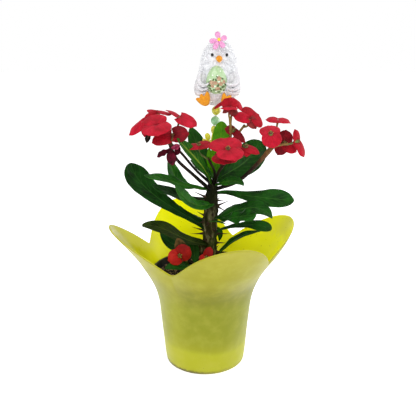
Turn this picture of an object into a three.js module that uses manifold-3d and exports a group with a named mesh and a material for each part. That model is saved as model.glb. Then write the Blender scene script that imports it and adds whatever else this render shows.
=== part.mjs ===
// Crown of thorns (Euphorbia milii) in a nursery pot, standing in a petal-edged pot cover,
// with a small chick pick held in the soil. Millimetres, +Z up, origin at the middle of the
// cover's base, +X to the right of the front view, +Y to the back.

import * as THREE from 'three';
import { mergeVertices } from 'three/addons/utils/BufferGeometryUtils.js';
import ManifoldModule from 'manifold-3d';

const wasm = await ManifoldModule();
wasm.setup();

// ---------------------------------------------------------------- driving dimensions
const GAP = 0.42;
const SIMPLIFY = 0.08;
const LEAF_THICK = 1.0;
const BRACT_THICK = 0.8;
const COVER_WALL = 1.2;
const COVER_FLOOR = 1.6;
const NOTCH_HEIGHT = 110;
const POT_RIM_HEIGHT = 95.5;
const POT_RIM_RADIUS = 51.4;
const POT_BASE_HEIGHT = 13;
const POT_BASE_RADIUS = 33;
const POT_WALL = 1.2;
const SOIL_HEIGHT = 91;
const SOIL_MOUND = 5;
const SPINE_LENGTH = 13;
const SPINE_BASE = 1.7;
const STICK_RADIUS = 1.1;
const BEAD_RADIUS = 4.4;
const CUP_RADIUS = 2.1;
const HEART_RADIUS = 2.7;
const CUP_LENGTH = 6;

// Radius of the cover against height, before the petals bulge and lean.
const COVER_PROFILE = [
  [0, 39.2], [10, 40.6], [25, 42], [40, 43.2], [52, 44.3], [63, 45.4], [74, 47.8],
  [84, 51.6], [93, 56], [101, 60.4], [110, 65.5], [119, 72], [128, 79], [137, 86],
  [146, 93], [154, 99], [162, 105],
];

// The four petals of the cover: middle direction in degrees, how far the petal stands above
// the notches, how much it leans out, how pointed its edge is, its skew, its bulge, and the
// height from which it bulges.
const PETALS = [
  { at: 17.5, rise: 31, lean: 0.56, edge: 1.08, skew: -0.11, bulge: 10.5, from: 92 },
  { at: 107.5, rise: 37, lean: 0.58, edge: 1.3, skew: 0.06, bulge: -1, from: 78 },
  { at: 197.5, rise: 33, lean: 1.04, edge: 1.36, skew: -0.08, bulge: 0.6, from: 78 },
  { at: 287.5, rise: 35.3, lean: 0.86, edge: 1.94, skew: -0.04, bulge: 9, from: 78 },
];

// ---------------------------------------------------------------- finishes
function finish(color, roughness, metalness = 0) {
  return { color, roughness, metalness };
}
const COVER = finish(0xb9bd4a, 0.42);
const POT = finish(0x17181a, 0.55);
const SOIL = finish(0x2a2118, 0.95);
const BARK = finish(0x5b5240, 0.85);
const STALK = finish(0x4a3423, 0.7);
const LEAF_DARK = finish(0x1f4d1b, 0.5);
const LEAF_MID = finish(0x2f6a26, 0.5);
const LEAF_BRIGHT = finish(0x4f9410, 0.5);
const RED = finish(0xc22a42, 0.55);
const RED_DEEP = finish(0x8f1527, 0.6);
const STICK = finish(0xe9e9e2, 0.5);
const YELLOW = finish(0xd8d234, 0.4);
const PEARL_GREEN = finish(0x7fbf86, 0.3);
const FLUFF = finish(0xf1f0ee, 0.95);
const EGG = finish(0xb3c7a4, 0.45);
const ORANGE = finish(0xe7a035, 0.5);
const PINK = finish(0xf0b3c6, 0.6);

// ---------------------------------------------------------------- small helpers
const vec = (p) => new THREE.Vector3(p[0], p[1], p[2]);
const rad = (degrees) => THREE.MathUtils.degToRad(degrees);
const lerp = (a, b, k) => a + (b - a) * k;
const smooth = (x) => THREE.MathUtils.smoothstep(x, 0, 1);

function interpolate(rows, x) {
  if (x <= rows[0][0]) return rows[0][1];
  for (let i = 1; i < rows.length; i += 1) {
    if (x <= rows[i][0]) {
      const k = (x - rows[i - 1][0]) / (rows[i][0] - rows[i - 1][0]);
      return lerp(rows[i - 1][1], rows[i][1], k);
    }
  }
  return rows[rows.length - 1][1];
}

// A solid from points and triangles, turned right side out when its volume is negative.
function solidFrom(points, triangles) {
  let volume = 0;
  for (const [a, b, c] of triangles) {
    volume += points[a].dot(new THREE.Vector3().crossVectors(points[b], points[c]));
  }
  const verts = new Float32Array(points.length * 3);
  points.forEach((p, i) => p.toArray(verts, i * 3));
  const tris = new Uint32Array(triangles.length * 3);
  triangles.forEach(([a, b, c], i) => {
    tris.set(volume < 0 ? [a, c, b] : [a, b, c], i * 3);
  });
  return new wasm.Manifold(new wasm.Mesh({ numProp: 3, vertProperties: verts, triVerts: tris }));
}

// A solid from a closed three.js geometry.
function solidOf(geometry) {
  const bare = geometry.clone();
  for (const name of Object.keys(bare.attributes)) {
    if (name !== 'position') bare.deleteAttribute(name);
  }
  const merged = mergeVertices(bare, 1e-4);
  const points = [];
  for (let i = 0; i < merged.attributes.position.count; i += 1) {
    points.push(new THREE.Vector3().fromBufferAttribute(merged.attributes.position, i));
  }
  const triangles = [];
  const index = merged.index.array;
  for (let i = 0; i < index.length; i += 3) {
    const t = [index[i], index[i + 1], index[i + 2]];
    if (t[0] !== t[1] && t[1] !== t[2] && t[0] !== t[2]) triangles.push(t);
  }
  return solidFrom(points, triangles);
}

function joined(parts) {
  return parts.reduce((whole, part) => whole.add(part));
}

function largestBody(solid) {
  const bodies = solid.decompose();
  return bodies.reduce((best, body) => (body.volume() > best.volume() ? body : best));
}

function ellipsoid(center, radii, across = 14, up = 10, turn = [0, 0, 0]) {
  const geometry = new THREE.SphereGeometry(1, across, up);
  geometry.rotateX(Math.PI / 2);
  geometry.scale(radii[0], radii[1], radii[2]);
  geometry.rotateX(rad(turn[0]));
  geometry.rotateY(rad(turn[1]));
  geometry.rotateZ(rad(turn[2]));
  geometry.translate(center[0], center[1], center[2]);
  return solidOf(geometry);
}

// Closed slab between two equal grids of points, both split along the same diagonals.
function slab(top, bottom) {
  const rows = top.length;
  const cols = top[0].length;
  const points = [...top.flat(), ...bottom.flat()];
  const id = (face, i, j) => face * rows * cols + i * cols + j;
  const triangles = [];
  for (let i = 0; i < rows - 1; i += 1) {
    for (let j = 0; j < cols - 1; j += 1) {
      triangles.push([id(0, i, j), id(0, i + 1, j), id(0, i + 1, j + 1)]);
      triangles.push([id(0, i, j), id(0, i + 1, j + 1), id(0, i, j + 1)]);
      triangles.push([id(1, i, j), id(1, i + 1, j + 1), id(1, i + 1, j)]);
      triangles.push([id(1, i, j), id(1, i, j + 1), id(1, i + 1, j + 1)]);
    }
  }
  const rim = [];
  for (let j = 0; j < cols - 1; j += 1) rim.push([0, j]);
  for (let i = 0; i < rows - 1; i += 1) rim.push([i, cols - 1]);
  for (let j = cols - 1; j > 0; j -= 1) rim.push([rows - 1, j]);
  for (let i = rows - 1; i > 0; i -= 1) rim.push([i, 0]);
  rim.forEach(([i, j], k) => {
    const [m, n] = rim[(k + 1) % rim.length];
    triangles.push([id(0, i, j), id(0, m, n), id(1, m, n)]);
    triangles.push([id(0, i, j), id(1, m, n), id(1, i, j)]);
  });
  return solidFrom(points, triangles);
}

// Round limb through the given points, with one radius per point, closed by end fans.
function limb(pathPoints, radii, sides = 7, steps = 6, grow = 0) {
  const curve = new THREE.CatmullRomCurve3(pathPoints.map(vec), false, 'centripetal');
  const count = steps * (pathPoints.length - 1);
  const normal = new THREE.Vector3(0.31, 0.95, 0.05);
  const points = [];
  for (let i = 0; i <= count; i += 1) {
    const u = i / count;
    const place = curve.getPoint(u);
    const tangent = curve.getTangent(u);
    if (i === 0) place.addScaledVector(tangent, -grow);
    if (i === count) place.addScaledVector(tangent, grow);
    const at = u * (radii.length - 1);
    const low = Math.min(Math.floor(at), radii.length - 2);
    const radius = lerp(radii[low], radii[low + 1], at - low) + grow;
    normal.addScaledVector(tangent, -normal.dot(tangent)).normalize();
    const binormal = new THREE.Vector3().crossVectors(tangent, normal);
    for (let s = 0; s < sides; s += 1) {
      const angle = (2 * Math.PI * s) / sides;
      points.push(place.clone()
        .addScaledVector(normal, Math.cos(angle) * radius)
        .addScaledVector(binormal, Math.sin(angle) * radius));
    }
  }
  const triangles = [];
  for (let i = 0; i < count; i += 1) {
    for (let s = 0; s < sides; s += 1) {
      const n = (s + 1) % sides;
      triangles.push([i * sides + s, i * sides + n, (i + 1) * sides + n]);
      triangles.push([i * sides + s, (i + 1) * sides + n, (i + 1) * sides + s]);
    }
  }
  for (let s = 1; s < sides - 1; s += 1) {
    triangles.push([0, s + 1, s]);
    triangles.push([count * sides, count * sides + s, count * sides + s + 1]);
  }
  return solidFrom(points, triangles);
}

// ---------------------------------------------------------------- leaf and bract blades
// Half width of a leaf along its length: a stalk, then a swelling that peaks near the tip.
function leafProfile(t, { blunt = 0.75, petiole = 0.09, peak = 0.62 }) {
  const k = Math.min(Math.max(t, 0), 1);
  const power = Math.log(0.5) / Math.log(peak);
  return Math.sin(Math.PI * k ** power) ** blunt + petiole * (1 - k);
}

// Half width of a kidney-shaped bract along its length.
function bractProfile(t) {
  return Math.sqrt(Math.max(1 - ((t - 0.42) / 0.58) ** 2, 0));
}

// Point and tangent of the cubic that passes through four points.
function cubicThrough(path, t) {
  const [a, b, c, d] = path.map(vec);
  const p1 = a.clone().multiplyScalar(-5).addScaledVector(b, 18).addScaledVector(c, -9)
    .addScaledVector(d, 2).divideScalar(6);
  const p2 = a.clone().multiplyScalar(2).addScaledVector(b, -9).addScaledVector(c, 18)
    .addScaledVector(d, -5).divideScalar(6);
  const curve = new THREE.CubicBezierCurve3(a, p1, p2, d);
  const place = curve.getPoint(t);
  const ahead = curve.getPoint(t + 0.01);
  const behind = curve.getPoint(t - 0.01);
  return { place, tangent: ahead.sub(behind).normalize() };
}

// A leaf: a thin blade along its path, folded along the midrib and waved along its edges.
function leafSolid(leaf, grow) {
  const { path, width, face, faceTip = face, shape } = leaf;
  const { fold = 10, wave = 0, waves = 2, rows = 8 } = shape;
  const cols = 3;
  const half = LEAF_THICK / 2 + grow;
  const top = [];
  const bottom = [];
  for (let i = 0; i < rows; i += 1) {
    const t = 1.01 - 1.02 * (1 - i / (rows - 1)) ** 1.4 - (i === rows - 1 ? 0.01 : 0);
    const { place, tangent } = cubicThrough(path, t);
    const facing = vec(face).normalize().lerp(vec(faceTip).normalize(), t);
    const normal = facing.addScaledVector(tangent, -facing.dot(tangent)).normalize();
    const side = new THREE.Vector3().crossVectors(tangent, normal);
    const w = Math.max((width / 2) * leafProfile(t, shape), 0.9) + grow;
    const up = [];
    const down = [];
    for (let j = 0; j < cols; j += 1) {
      const v = -1 + (2 * j) / (cols - 1);
      const lift = Math.abs(v) * w * Math.sin(rad(fold))
        + wave * v * v * Math.sin(2 * Math.PI * waves * t);
      const p = place.clone().addScaledVector(side, v * w * Math.cos(rad(fold)))
        .addScaledVector(normal, lift);
      up.push(p.clone().addScaledVector(normal, half));
      down.push(p.addScaledVector(normal, -half));
    }
    top.push(up);
    bottom.push(down);
  }
  return slab(top, bottom);
}

// A cross row of one kidney-shaped bract: three points at station t along its length. It lies
// square to the flower's axis, or to its own facing.
function bractRow(flower, bract, t, grow) {
  const axis = vec(bract.face ?? flower.axis).normalize();
  const out = vec(bract.to);
  out.addScaledVector(axis, -out.dot(axis)).normalize();
  const cup = rad(bract.cup);
  const along = out.clone().multiplyScalar(Math.cos(cup)).addScaledVector(axis, Math.sin(cup));
  const normal = out.clone().multiplyScalar(-Math.sin(cup)).addScaledVector(axis, Math.cos(cup));
  const side = new THREE.Vector3().crossVectors(along, normal);
  const shape = Math.max(bractProfile(t), 0.16);
  const w = (bract.width / 2) * shape + grow;
  return [-1, 0, 1].map((v) => {
    const reach = bract.length * (t - 0.1 * v * v * (1 - t)) + (t === 1 ? grow : 0);
    const lift = bract.bow * 4 * t * (1 - t) - bract.bow * 0.8 * v * v * shape * shape;
    const at = vec(flower.at).addScaledVector(along, reach)
      .addScaledVector(side, v * w).addScaledVector(normal, lift);
    return { at, normal };
  });
}

// A flower whose bracts face their own ways: thin blades that meet in a small solid heart.
function foldedSolid(flower, grow) {
  const half = BRACT_THICK / 2 + grow;
  const blades = flower.bracts.map((one) => {
    const rows = [0.02, 0.3, 0.62, 0.86, 1].map((t) => bractRow(flower, one, t, grow));
    return slab(
      rows.map((row) => row.map(({ at, normal }) => at.clone().addScaledVector(normal, half))),
      rows.map((row) => row.map(({ at, normal }) => at.clone().addScaledVector(normal, -half))),
    );
  });
  const r = HEART_RADIUS + grow;
  return joined([ellipsoid(flower.at, [r, r, r], 7, 5), ...blades]);
}

// Both bracts of a flower as one thin blade that runs from tip to tip through the centre.
function flowerSolid(flower, grow) {
  if (flower.bracts.some((one) => one.face)) return foldedSolid(flower, grow);
  const half = BRACT_THICK / 2 + grow;
  const stations = [1, 0.93, 0.74, 0.46, 0.16];
  const [first, second] = flower.bracts;
  const axis = vec(flower.axis).normalize();
  const near = bractRow(flower, first, 0.02, grow);
  const far = bractRow(flower, second, 0.02, grow).reverse();
  const middle = near.map(({ at }, i) => {
    const sideways = at.clone().add(far[i].at).multiplyScalar(0.5).sub(vec(flower.at));
    const reach = i === 1 ? 0 : Math.max(sideways.length() * 0.75, 2 * CUP_RADIUS + 0.6);
    return { at: vec(flower.at).addScaledVector(sideways.normalize(), reach), normal: axis };
  });
  const rows = [
    ...stations.map((t) => bractRow(flower, first, t, grow)),
    middle,
    ...stations.reverse().map((t) => bractRow(flower, second, t, grow).reverse()),
  ];
  return slab(
    rows.map((row) => row.map(({ at, normal }) => at.clone().addScaledVector(normal, half))),
    rows.map((row) => row.map(({ at, normal }) => at.clone().addScaledVector(normal, -half))),
  );
}

// The green cup that carries a flower's stamens, flaring out of its own little stalk. A flower
// with a solid heart hides the end of a plain stalk in it.
function cupSolid(flower, from, grow = 0) {
  const axis = vec(flower.axis).normalize();
  const at = vec(flower.at);
  const step = (distance) => at.clone().addScaledVector(axis, distance).toArray();
  if (flower.bare) {
    return limb([from, step(-CUP_LENGTH - 1.5), step(-3), step(-0.6)], [1, 0.9, 1, 1.1], 6, 1,
      grow);
  }
  const path = [from, step(-CUP_LENGTH - 1.5), step(-3), step(-1.4), step(0.4), step(1.9)];
  return limb(path, [1, 0.9, 1, 1.6, CUP_RADIUS, 1.5], 6, 1, grow);
}

// ---------------------------------------------------------------- assembling the plant
const plant = new THREE.Group();
plant.name = 'crown_of_thorns_in_pot';
const placed = [];

function boxesMeet(a, b) {
  for (let k = 0; k < 3; k += 1) {
    if (a.min[k] > b.max[k] || b.min[k] > a.max[k]) return false;
  }
  return true;
}

// Adds a piece after taking a slightly grown copy of every earlier neighbour out of it.
function place(name, make, look) {
  let solid = make(0);
  const before = solid.volume();
  for (const other of placed) {
    if (boxesMeet(solid.boundingBox(), other.box)) solid = solid.subtract(other.grown);
  }
  solid = largestBody(largestBody(solid).simplify(SIMPLIFY));
  const grown = make(GAP);
  placed.push({ name, grown, box: grown.boundingBox() });
  const mesh = solid.getMesh();
  const geometry = new THREE.BufferGeometry();
  const position = new Float32Array(mesh.vertProperties);
  geometry.setAttribute('position', new THREE.BufferAttribute(position, 3));
  geometry.setIndex(new THREE.BufferAttribute(new Uint32Array(mesh.triVerts), 1));
  geometry.computeVertexNormals();
  const piece = new THREE.Mesh(geometry, new THREE.MeshStandardMaterial({
    color: look.color, roughness: look.roughness, metalness: look.metalness,
  }));
  piece.name = name;
  piece.userData.trimmed = 1 - solid.volume() / before;
  plant.add(piece);
}

// ---------------------------------------------------------------- pot cover
function coverPoint(angle, fraction, inset) {
  const petal = PETALS.find((p) => Math.abs(((angle - p.at + 540) % 360) - 180) <= 45.001);
  const t = THREE.MathUtils.clamp((((angle - petal.at + 540) % 360) - 180) / 45, -1, 1);
  const dome = 1 - t * t;
  const crest = Math.max(1 - (t - petal.skew * dome) ** 2, 0);
  const edge = NOTCH_HEIGHT + petal.rise * crest ** petal.edge;
  const radiusAt = (z) => {
    const base = interpolate(COVER_PROFILE, Math.min(z, NOTCH_HEIGHT));
    const above = interpolate(COVER_PROFILE, Math.max(z, NOTCH_HEIGHT))
      - interpolate(COVER_PROFILE, NOTCH_HEIGHT);
    return base + petal.lean * above + petal.bulge * smooth((z - petal.from) / 35) * dome;
  };
  const z = edge * fraction;
  const slope = (radiusAt(z + 1) - radiusAt(Math.max(z - 1, 0))) / (z < 1 ? z + 1 : 2);
  const length = Math.hypot(1, slope);
  const r = radiusAt(z) - inset / length;
  const lift = (inset * slope) / length;
  return new THREE.Vector3(r * Math.cos(rad(angle)), r * Math.sin(rad(angle)), z + lift);
}

function coverSolid(grow) {
  const columns = 48;
  const fractions = [0, 0.12, 0.34, 0.52, 0.66, 0.77, 0.86, 0.93, 1];
  const points = [];
  const ring = (fraction, inset, floor) => {
    for (let c = 0; c < columns; c += 1) {
      const p = coverPoint(-27.5 + (360 * c) / columns, fraction, inset);
      if (floor !== undefined) p.z = floor;
      points.push(p);
    }
  };
  fractions.forEach((f) => ring(f, -grow, f === 0 ? -grow : undefined));
  [...fractions].reverse().forEach((f) => {
    ring(f, COVER_WALL + grow, f === 0 ? COVER_FLOOR + grow : undefined);
  });
  const rings = fractions.length * 2;
  const triangles = [];
  for (let i = 0; i < rings - 1; i += 1) {
    for (let c = 0; c < columns; c += 1) {
      const n = (c + 1) % columns;
      triangles.push([i * columns + c, i * columns + n, (i + 1) * columns + n]);
      triangles.push([i * columns + c, (i + 1) * columns + n, (i + 1) * columns + c]);
    }
  }
  points.push(new THREE.Vector3(0, 0, -grow));
  points.push(new THREE.Vector3(0, 0, COVER_FLOOR + grow));
  const last = (rings - 1) * columns;
  for (let c = 0; c < columns; c += 1) {
    const n = (c + 1) % columns;
    triangles.push([points.length - 2, n, c]);
    triangles.push([points.length - 1, last + c, last + n]);
  }
  return solidFrom(points, triangles);
}

// ---------------------------------------------------------------- nursery pot and soil
function lathed(profile, segments = 32) {
  const outline = profile.map(([r, z]) => new THREE.Vector2(r, z));
  const geometry = new THREE.LatheGeometry(outline, segments);
  geometry.rotateX(Math.PI / 2);
  return solidOf(geometry);
}

function nurseryPot() {
  const top = POT_RIM_HEIGHT;
  const low = POT_BASE_HEIGHT;
  const wall = lathed([
    [0, low], [POT_BASE_RADIUS, low], [46.4, top - 10.5],
    [POT_RIM_RADIUS - 0.7, top - 9.5], [POT_RIM_RADIUS, top], [POT_RIM_RADIUS - 1.8, top],
    [POT_RIM_RADIUS - 2.6, top - 7.5], [45.2, top - 9], [POT_BASE_RADIUS - POT_WALL, low + 1.6],
    [0, low + 1.6],
  ]);
  let pot = wall;
  for (let k = 0; k < 6; k += 1) {
    const hole = new THREE.CylinderGeometry(4, 4, 6, 8);
    hole.rotateX(Math.PI / 2);
    hole.translate(22 * Math.cos(rad(60 * k)), 22 * Math.sin(rad(60 * k)), low + 1);
    pot = pot.subtract(solidOf(hole));
  }
  return pot;
}

function soilSolid() {
  const floor = POT_BASE_HEIGHT + 1.6 + GAP;
  const columns = 24;
  const rows = [
    [POT_BASE_RADIUS - POT_WALL - 0.6, floor],
    [44.3, POT_RIM_HEIGHT - 9.1],
    [48, POT_RIM_HEIGHT - 7.1],
  ];
  const radii = [47.6, 36, 23, 11];
  const points = [];
  for (const [r, z] of rows) {
    for (let c = 0; c < columns; c += 1) {
      const a = rad((360 * c) / columns);
      points.push(new THREE.Vector3(r * Math.cos(a), r * Math.sin(a), z));
    }
  }
  for (const r of radii) {
    for (let c = 0; c < columns; c += 1) {
      const a = rad((360 * c) / columns);
      const lump = Math.sin(a * 3 + r) * 0.7 + Math.sin(a * 7 - r * 0.6) * 0.6;
      const z = SOIL_HEIGHT + SOIL_MOUND * (1 - (r / 50) ** 2) - 2 + lump * (r / 60);
      points.push(new THREE.Vector3(r * Math.cos(a), r * Math.sin(a), z));
    }
  }
  const rings = rows.length + radii.length;
  points.push(new THREE.Vector3(0, 0, floor));
  points.push(new THREE.Vector3(0, 0, SOIL_HEIGHT + SOIL_MOUND - 3));
  const triangles = [];
  for (let i = 0; i < rings - 1; i += 1) {
    for (let c = 0; c < columns; c += 1) {
      const n = (c + 1) % columns;
      triangles.push([i * columns + c, i * columns + n, (i + 1) * columns + n]);
      triangles.push([i * columns + c, (i + 1) * columns + n, (i + 1) * columns + c]);
    }
  }
  for (let c = 0; c < columns; c += 1) {
    const n = (c + 1) % columns;
    triangles.push([points.length - 2, n, c]);
    triangles.push([points.length - 1, (rings - 1) * columns + c, (rings - 1) * columns + n]);
  }
  return solidFrom(points, triangles);
}

// ---------------------------------------------------------------- trunk and spines
const TRUNK_PATH = [
  [6, 0, 60], [7, 0, 92], [6, 0, 106], [5, 0, 118], [5, 0, 131], [5, 0, 143], [6, 0, 154],
  [6, 0, 164], [7, 0, 174], [8, 0, 184],
];
const TRUNK_RADII = [6, 6.6, 6.9, 6.3, 6.7, 7, 6.5, 6.1, 4.9, 3.4];

// Spines seen on the two sides and the front: height, direction, tilt, length.
const SPINES = [
  [167, 184, 26, 16], [163, 176, 21, 13], [149, 186, 29, 9], [144, 202, -12, 9],
  [139, 170, 14, 11], [134, 178, 15, 13], [131, 184, 0, 14], [122, 198, 4, 10],
  [158.6, -6, 25, 15], [164, 14, -8, 9], [158.6, 6, -31, 13], [148, 8, -18, 11],
  [131, -4, 0, 14], [121.5, 4, -3, 11], [112, -4, 0, 17], [109, 182, 6, 9],
  [161, 262, 10, 9], [152, 282, 0, 10], [143, 254, -8, 9], [130, 276, 6, 10],
  [118, 258, 0, 9], [108, 288, 8, 9], [137, 300, -10, 9], [126, 236, 8, 9],
];
for (let k = 0; k < 22; k += 1) {
  SPINES.push([106 + 3 * k, 38 + ((k * 61) % 104), ((k * 37) % 40) - 18, SPINE_LENGTH - (k % 3)]);
}

function trunkAxis(z) {
  const xs = TRUNK_PATH.map((p) => [p[2], p[0]]);
  return interpolate(xs, z);
}

function spineSolid([z, direction, tilt, length], grow) {
  const a = rad(direction);
  const out = new THREE.Vector3(Math.cos(a), Math.sin(a), Math.tan(rad(tilt))).normalize();
  const geometry = new THREE.ConeGeometry(SPINE_BASE + grow, length + 2 * grow, 3);
  geometry.translate(0, length / 2, 0);
  geometry.applyQuaternion(new THREE.Quaternion()
    .setFromUnitVectors(new THREE.Vector3(0, 1, 0), out));
  const r = interpolate(TRUNK_PATH.map((p, i) => [p[2], TRUNK_RADII[i]]), z) - 1.4;
  geometry.translate(trunkAxis(z) + r * Math.cos(a), r * Math.sin(a), z);
  return solidOf(geometry);
}

function trunkSolid(grow) {
  const body = limb(TRUNK_PATH, TRUNK_RADII, 10, 2, grow);
  const knob = ellipsoid([-3, -5, 117], [4 + grow, 4 + grow, 6 + grow], 8, 6, [0, -25, 0]);
  const stubs = STUBS.map((leaf) => leafSolid(leaf, grow));
  return joined([body, knob, ...stubs, ...SPINES.map((spine) => spineSolid(spine, grow))]);
}

// ---------------------------------------------------------------- leaves
// Each leaf: four points from root to tip, width, facing at the root and at the tip.
function leaf(name, path, width, face, faceTip, shape, look) {
  return { name, path, width, face, faceTip: faceTip ?? face, shape, look };
}

const STUBS = [
  leaf('stub_mid', [[4, -6, 145], [10, -9, 146], [14, -12, 146], [20, -15, 145]], 4,
    [0, 0, 1], null, { petiole: 0.3, rows: 5 }, LEAF_MID),
  leaf('stub_behind', [[7, 3, 137], [13, 7, 132], [15, 10, 126], [14, 12, 119]], 6,
    [0.3, -1, 0.4], null, { peak: 0.5, rows: 5 }, LEAF_MID),
];

const LEAVES = [
  leaf('leaf_left_long', [[1, 0, 137], [-24, -2, 153], [-54, 2, 173.5], [-71, 8, 199]], 24,
    [0.4, -0.8, 1], [0.7, -1, 0.6], { fold: 8, peak: 0.82, petiole: 0.4, blunt: 0.6 },
    LEAF_DARK),
  leaf('leaf_left_mid', [[5, 2, 165], [-14, -2, 165], [-33, -10, 173.5], [-49, -16, 183]], 14,
    [0.1, -0.4, 1], [0.4, -0.6, 1], { fold: 12, peak: 0.6, petiole: 0.2, wave: 1 },
    LEAF_DARK),
  leaf('leaf_left_front', [[7, -4, 162], [-7, -24, 165.5], [-17.5, -38, 175.5], [-25.5, -46, 189]], 15,
    [0.1, -0.4, 1], [1, -0.8, 0.6], { fold: 14, blunt: 0.6, peak: 0.55, petiole: 0.3 },
    LEAF_MID),
  leaf('leaf_left_upper', [[3, -2, 175], [-17, -12, 181], [-36, -18, 188], [-55, -22, 193]], 13,
    [0.1, -0.4, 1], [-0.1, -0.5, 1], { fold: 12, peak: 0.6, wave: 1 }, LEAF_MID),
  leaf('leaf_left_back', [[4, 5, 175], [-17, 18, 173.5], [-28.5, 27, 178.7], [-36, 34, 199]], 15,
    [1, -0.5, 1], [0.5, -1, 0.3], { fold: 14, peak: 0.7, blunt: 0.6 }, LEAF_MID),
  leaf('leaf_up_left', [[6, 4, 180], [-1, 14, 196], [-7, 20, 212], [-14, 24, 231]], 17,
    [0.5, -1, 0.3], [0.2, -1, 0.3], { fold: 10, peak: 0.64, blunt: 0.6 }, LEAF_DARK),
  leaf('leaf_up_left_front', [[6, -3, 181], [-2, -16, 199], [-13, -26, 214], [-24, -32, 228]],
    14, [0.5, -1, 0.8], [0.6, -1, 1], { fold: 18, peak: 0.62 }, LEAF_MID),
  leaf('leaf_up_center', [[9, 2, 186], [12, 7, 202], [15, 11, 221], [15, 12, 238]], 16,
    [0, -1, 0.3], [0, -1, 0.4], { fold: 8, peak: 0.66, blunt: 0.5 }, LEAF_BRIGHT),
  leaf('leaf_up_right', [[10, 3, 181], [23, 6, 190], [39, 10, 200], [52, 14, 220]], 30,
    [-0.6, -1, 1], [-0.1, -1, 0.6], { fold: 6, blunt: 0.42, peak: 0.72 }, LEAF_DARK),
  leaf('leaf_right_small', [[10, -3, 180], [17, -16, 185], [27, -24, 188], [35, -30, 185]], 11,
    [-0.1, -0.6, 1], [0.3, -1, 1], { fold: 10, peak: 0.55 }, LEAF_MID),
  leaf('leaf_right_long', [[10, 0, 171], [33, -2, 170], [60, -4, 167], [85, -4, 165]], 18,
    [0, -0.9, 1], [0.1, -1, 0.6],
    { fold: 8, blunt: 0.7, peak: 0.76, petiole: 0.2, wave: 2, waves: 1.5, rows: 9 },
    LEAF_DARK),
  leaf('leaf_right_mid', [[9, 0, 144], [30, -8, 156], [49, -14, 160], [63, -18, 151]], 16,
    [-0.4, -0.6, 1], [0.8, -1, 0.9], { fold: 8, peak: 0.62 }, LEAF_DARK),
  leaf('leaf_right_crinkled', [[9, -4, 147], [22, -20, 152], [34, -32, 157], [46, -40, 161]],
    14, [0, -0.6, 1], [0, -1, 0.9],
    { fold: 6, wave: 1.8, waves: 3, blunt: 0.55, peak: 0.7, rows: 11 }, LEAF_DARK),
  leaf('leaf_right_arched', [[9, -2, 132], [26, -10, 141], [45, -18, 145], [62, -24, 142]], 11,
    [0.1, -0.25, 1], [0.3, -1, 0.7], { fold: 6, peak: 0.82, petiole: 0.45, blunt: 0.6 },
    LEAF_DARK),
  leaf('leaf_right_low', [[9, 2, 105], [24, -4, 122], [38, -8, 132], [53, -10, 136]], 9,
    [-0.5, -0.4, 1], [-0.1, -0.3, 1], { fold: 12, peak: 0.5 }, LEAF_DARK),
  leaf('leaf_left_low', [[3, -3, 121], [-20, -16, 131], [-39, -24, 143], [-57, -32, 148]], 14,
    [0.3, -0.5, 1], [-0.3, -0.8, 1],
    { fold: 12, blunt: 0.5, peak: 0.6, petiole: 0.25, wave: 1 }, LEAF_DARK),
  leaf('leaf_left_low_back', [[1, 4, 112], [-17, 7, 112], [-33, 10, 117], [-45, 14, 128]], 15,
    [0.4, -1, 1], null, { fold: 12, peak: 0.5 }, LEAF_MID),
  leaf('leaf_shoot_right', [[-9, -13, 104], [-10, -10, 112], [-11, -8, 119], [-11, -6, 126]], 10,
    [0.2, -1, 0.3], null, { fold: 14, peak: 0.55 }, LEAF_DARK),
  leaf('leaf_shoot_front', [[-10, -21, 105], [-17, -31, 109], [-26, -38, 111.5],
    [-36, -43, 111]], 11, [0, -0.6, 1], null, { fold: 10, peak: 0.5, blunt: 0.6 }, LEAF_DARK),
  leaf('leaf_back_left', [[4, 6, 143], [-12, 16, 143.5], [-28, 30, 147], [-41, 42, 153]], 13,
    [0, 0.2, 1], null, { fold: 12, peak: 0.7, blunt: 0.6 }, LEAF_DARK),
  leaf('leaf_back_right', [[8, 4, 142], [22, 16, 149], [36, 28, 151], [48, 38, 146]], 14,
    [0, 0.2, 1], null, { fold: 12, peak: 0.7, blunt: 0.6 }, LEAF_DARK),
];

// The young leaves that crowd round the growing tip hold together at their roots.
const YOUNG = [
  leaf('young_front', [[8, -1, 190], [6, -11, 199], [5, -16, 208], [4, -18, 218]], 7,
    [-0.3, -1, 0.3], null, { fold: 20, peak: 0.6 }, LEAF_BRIGHT),
  leaf('young_left', [[8, -1, 189], [-1, -7, 193], [-7, -12, 198], [-13, -16, 206]], 10,
    [0.9, -0.6, 1], null, { fold: 14, peak: 0.6 }, LEAF_MID),
  leaf('young_back', [[8, 1, 189], [4, 13, 194], [1, 22, 201], [-1, 26, 211]], 13,
    [0.1, -1, 0.3], null, { fold: 12, peak: 0.66 }, LEAF_MID),
];

function youngSolid(grow) {
  const bud = ellipsoid([8, 0, 190], [3 + grow, 3 + grow, 5 + grow], 6, 5);
  return joined([bud, ...YOUNG.map((young) => leafSolid(young, grow))]);
}

// ---------------------------------------------------------------- flowers
// Each flower: centre, axis, and its bracts with direction, length, width, cup, bow and, for
// a bract that is turned out of the flower's plane, its own facing.
function bract(to, length, width, cup = 0, bow = 1, face = null) {
  return { to, length, width, cup, bow, face };
}
function flower(name, at, axis, bracts, look = RED) {
  return { name, at, axis, bracts, look, bare: false };
}
function bareFlower(name, at, axis, bracts, look = RED) {
  return { name, at, axis, bracts, look, bare: true };
}

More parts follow.
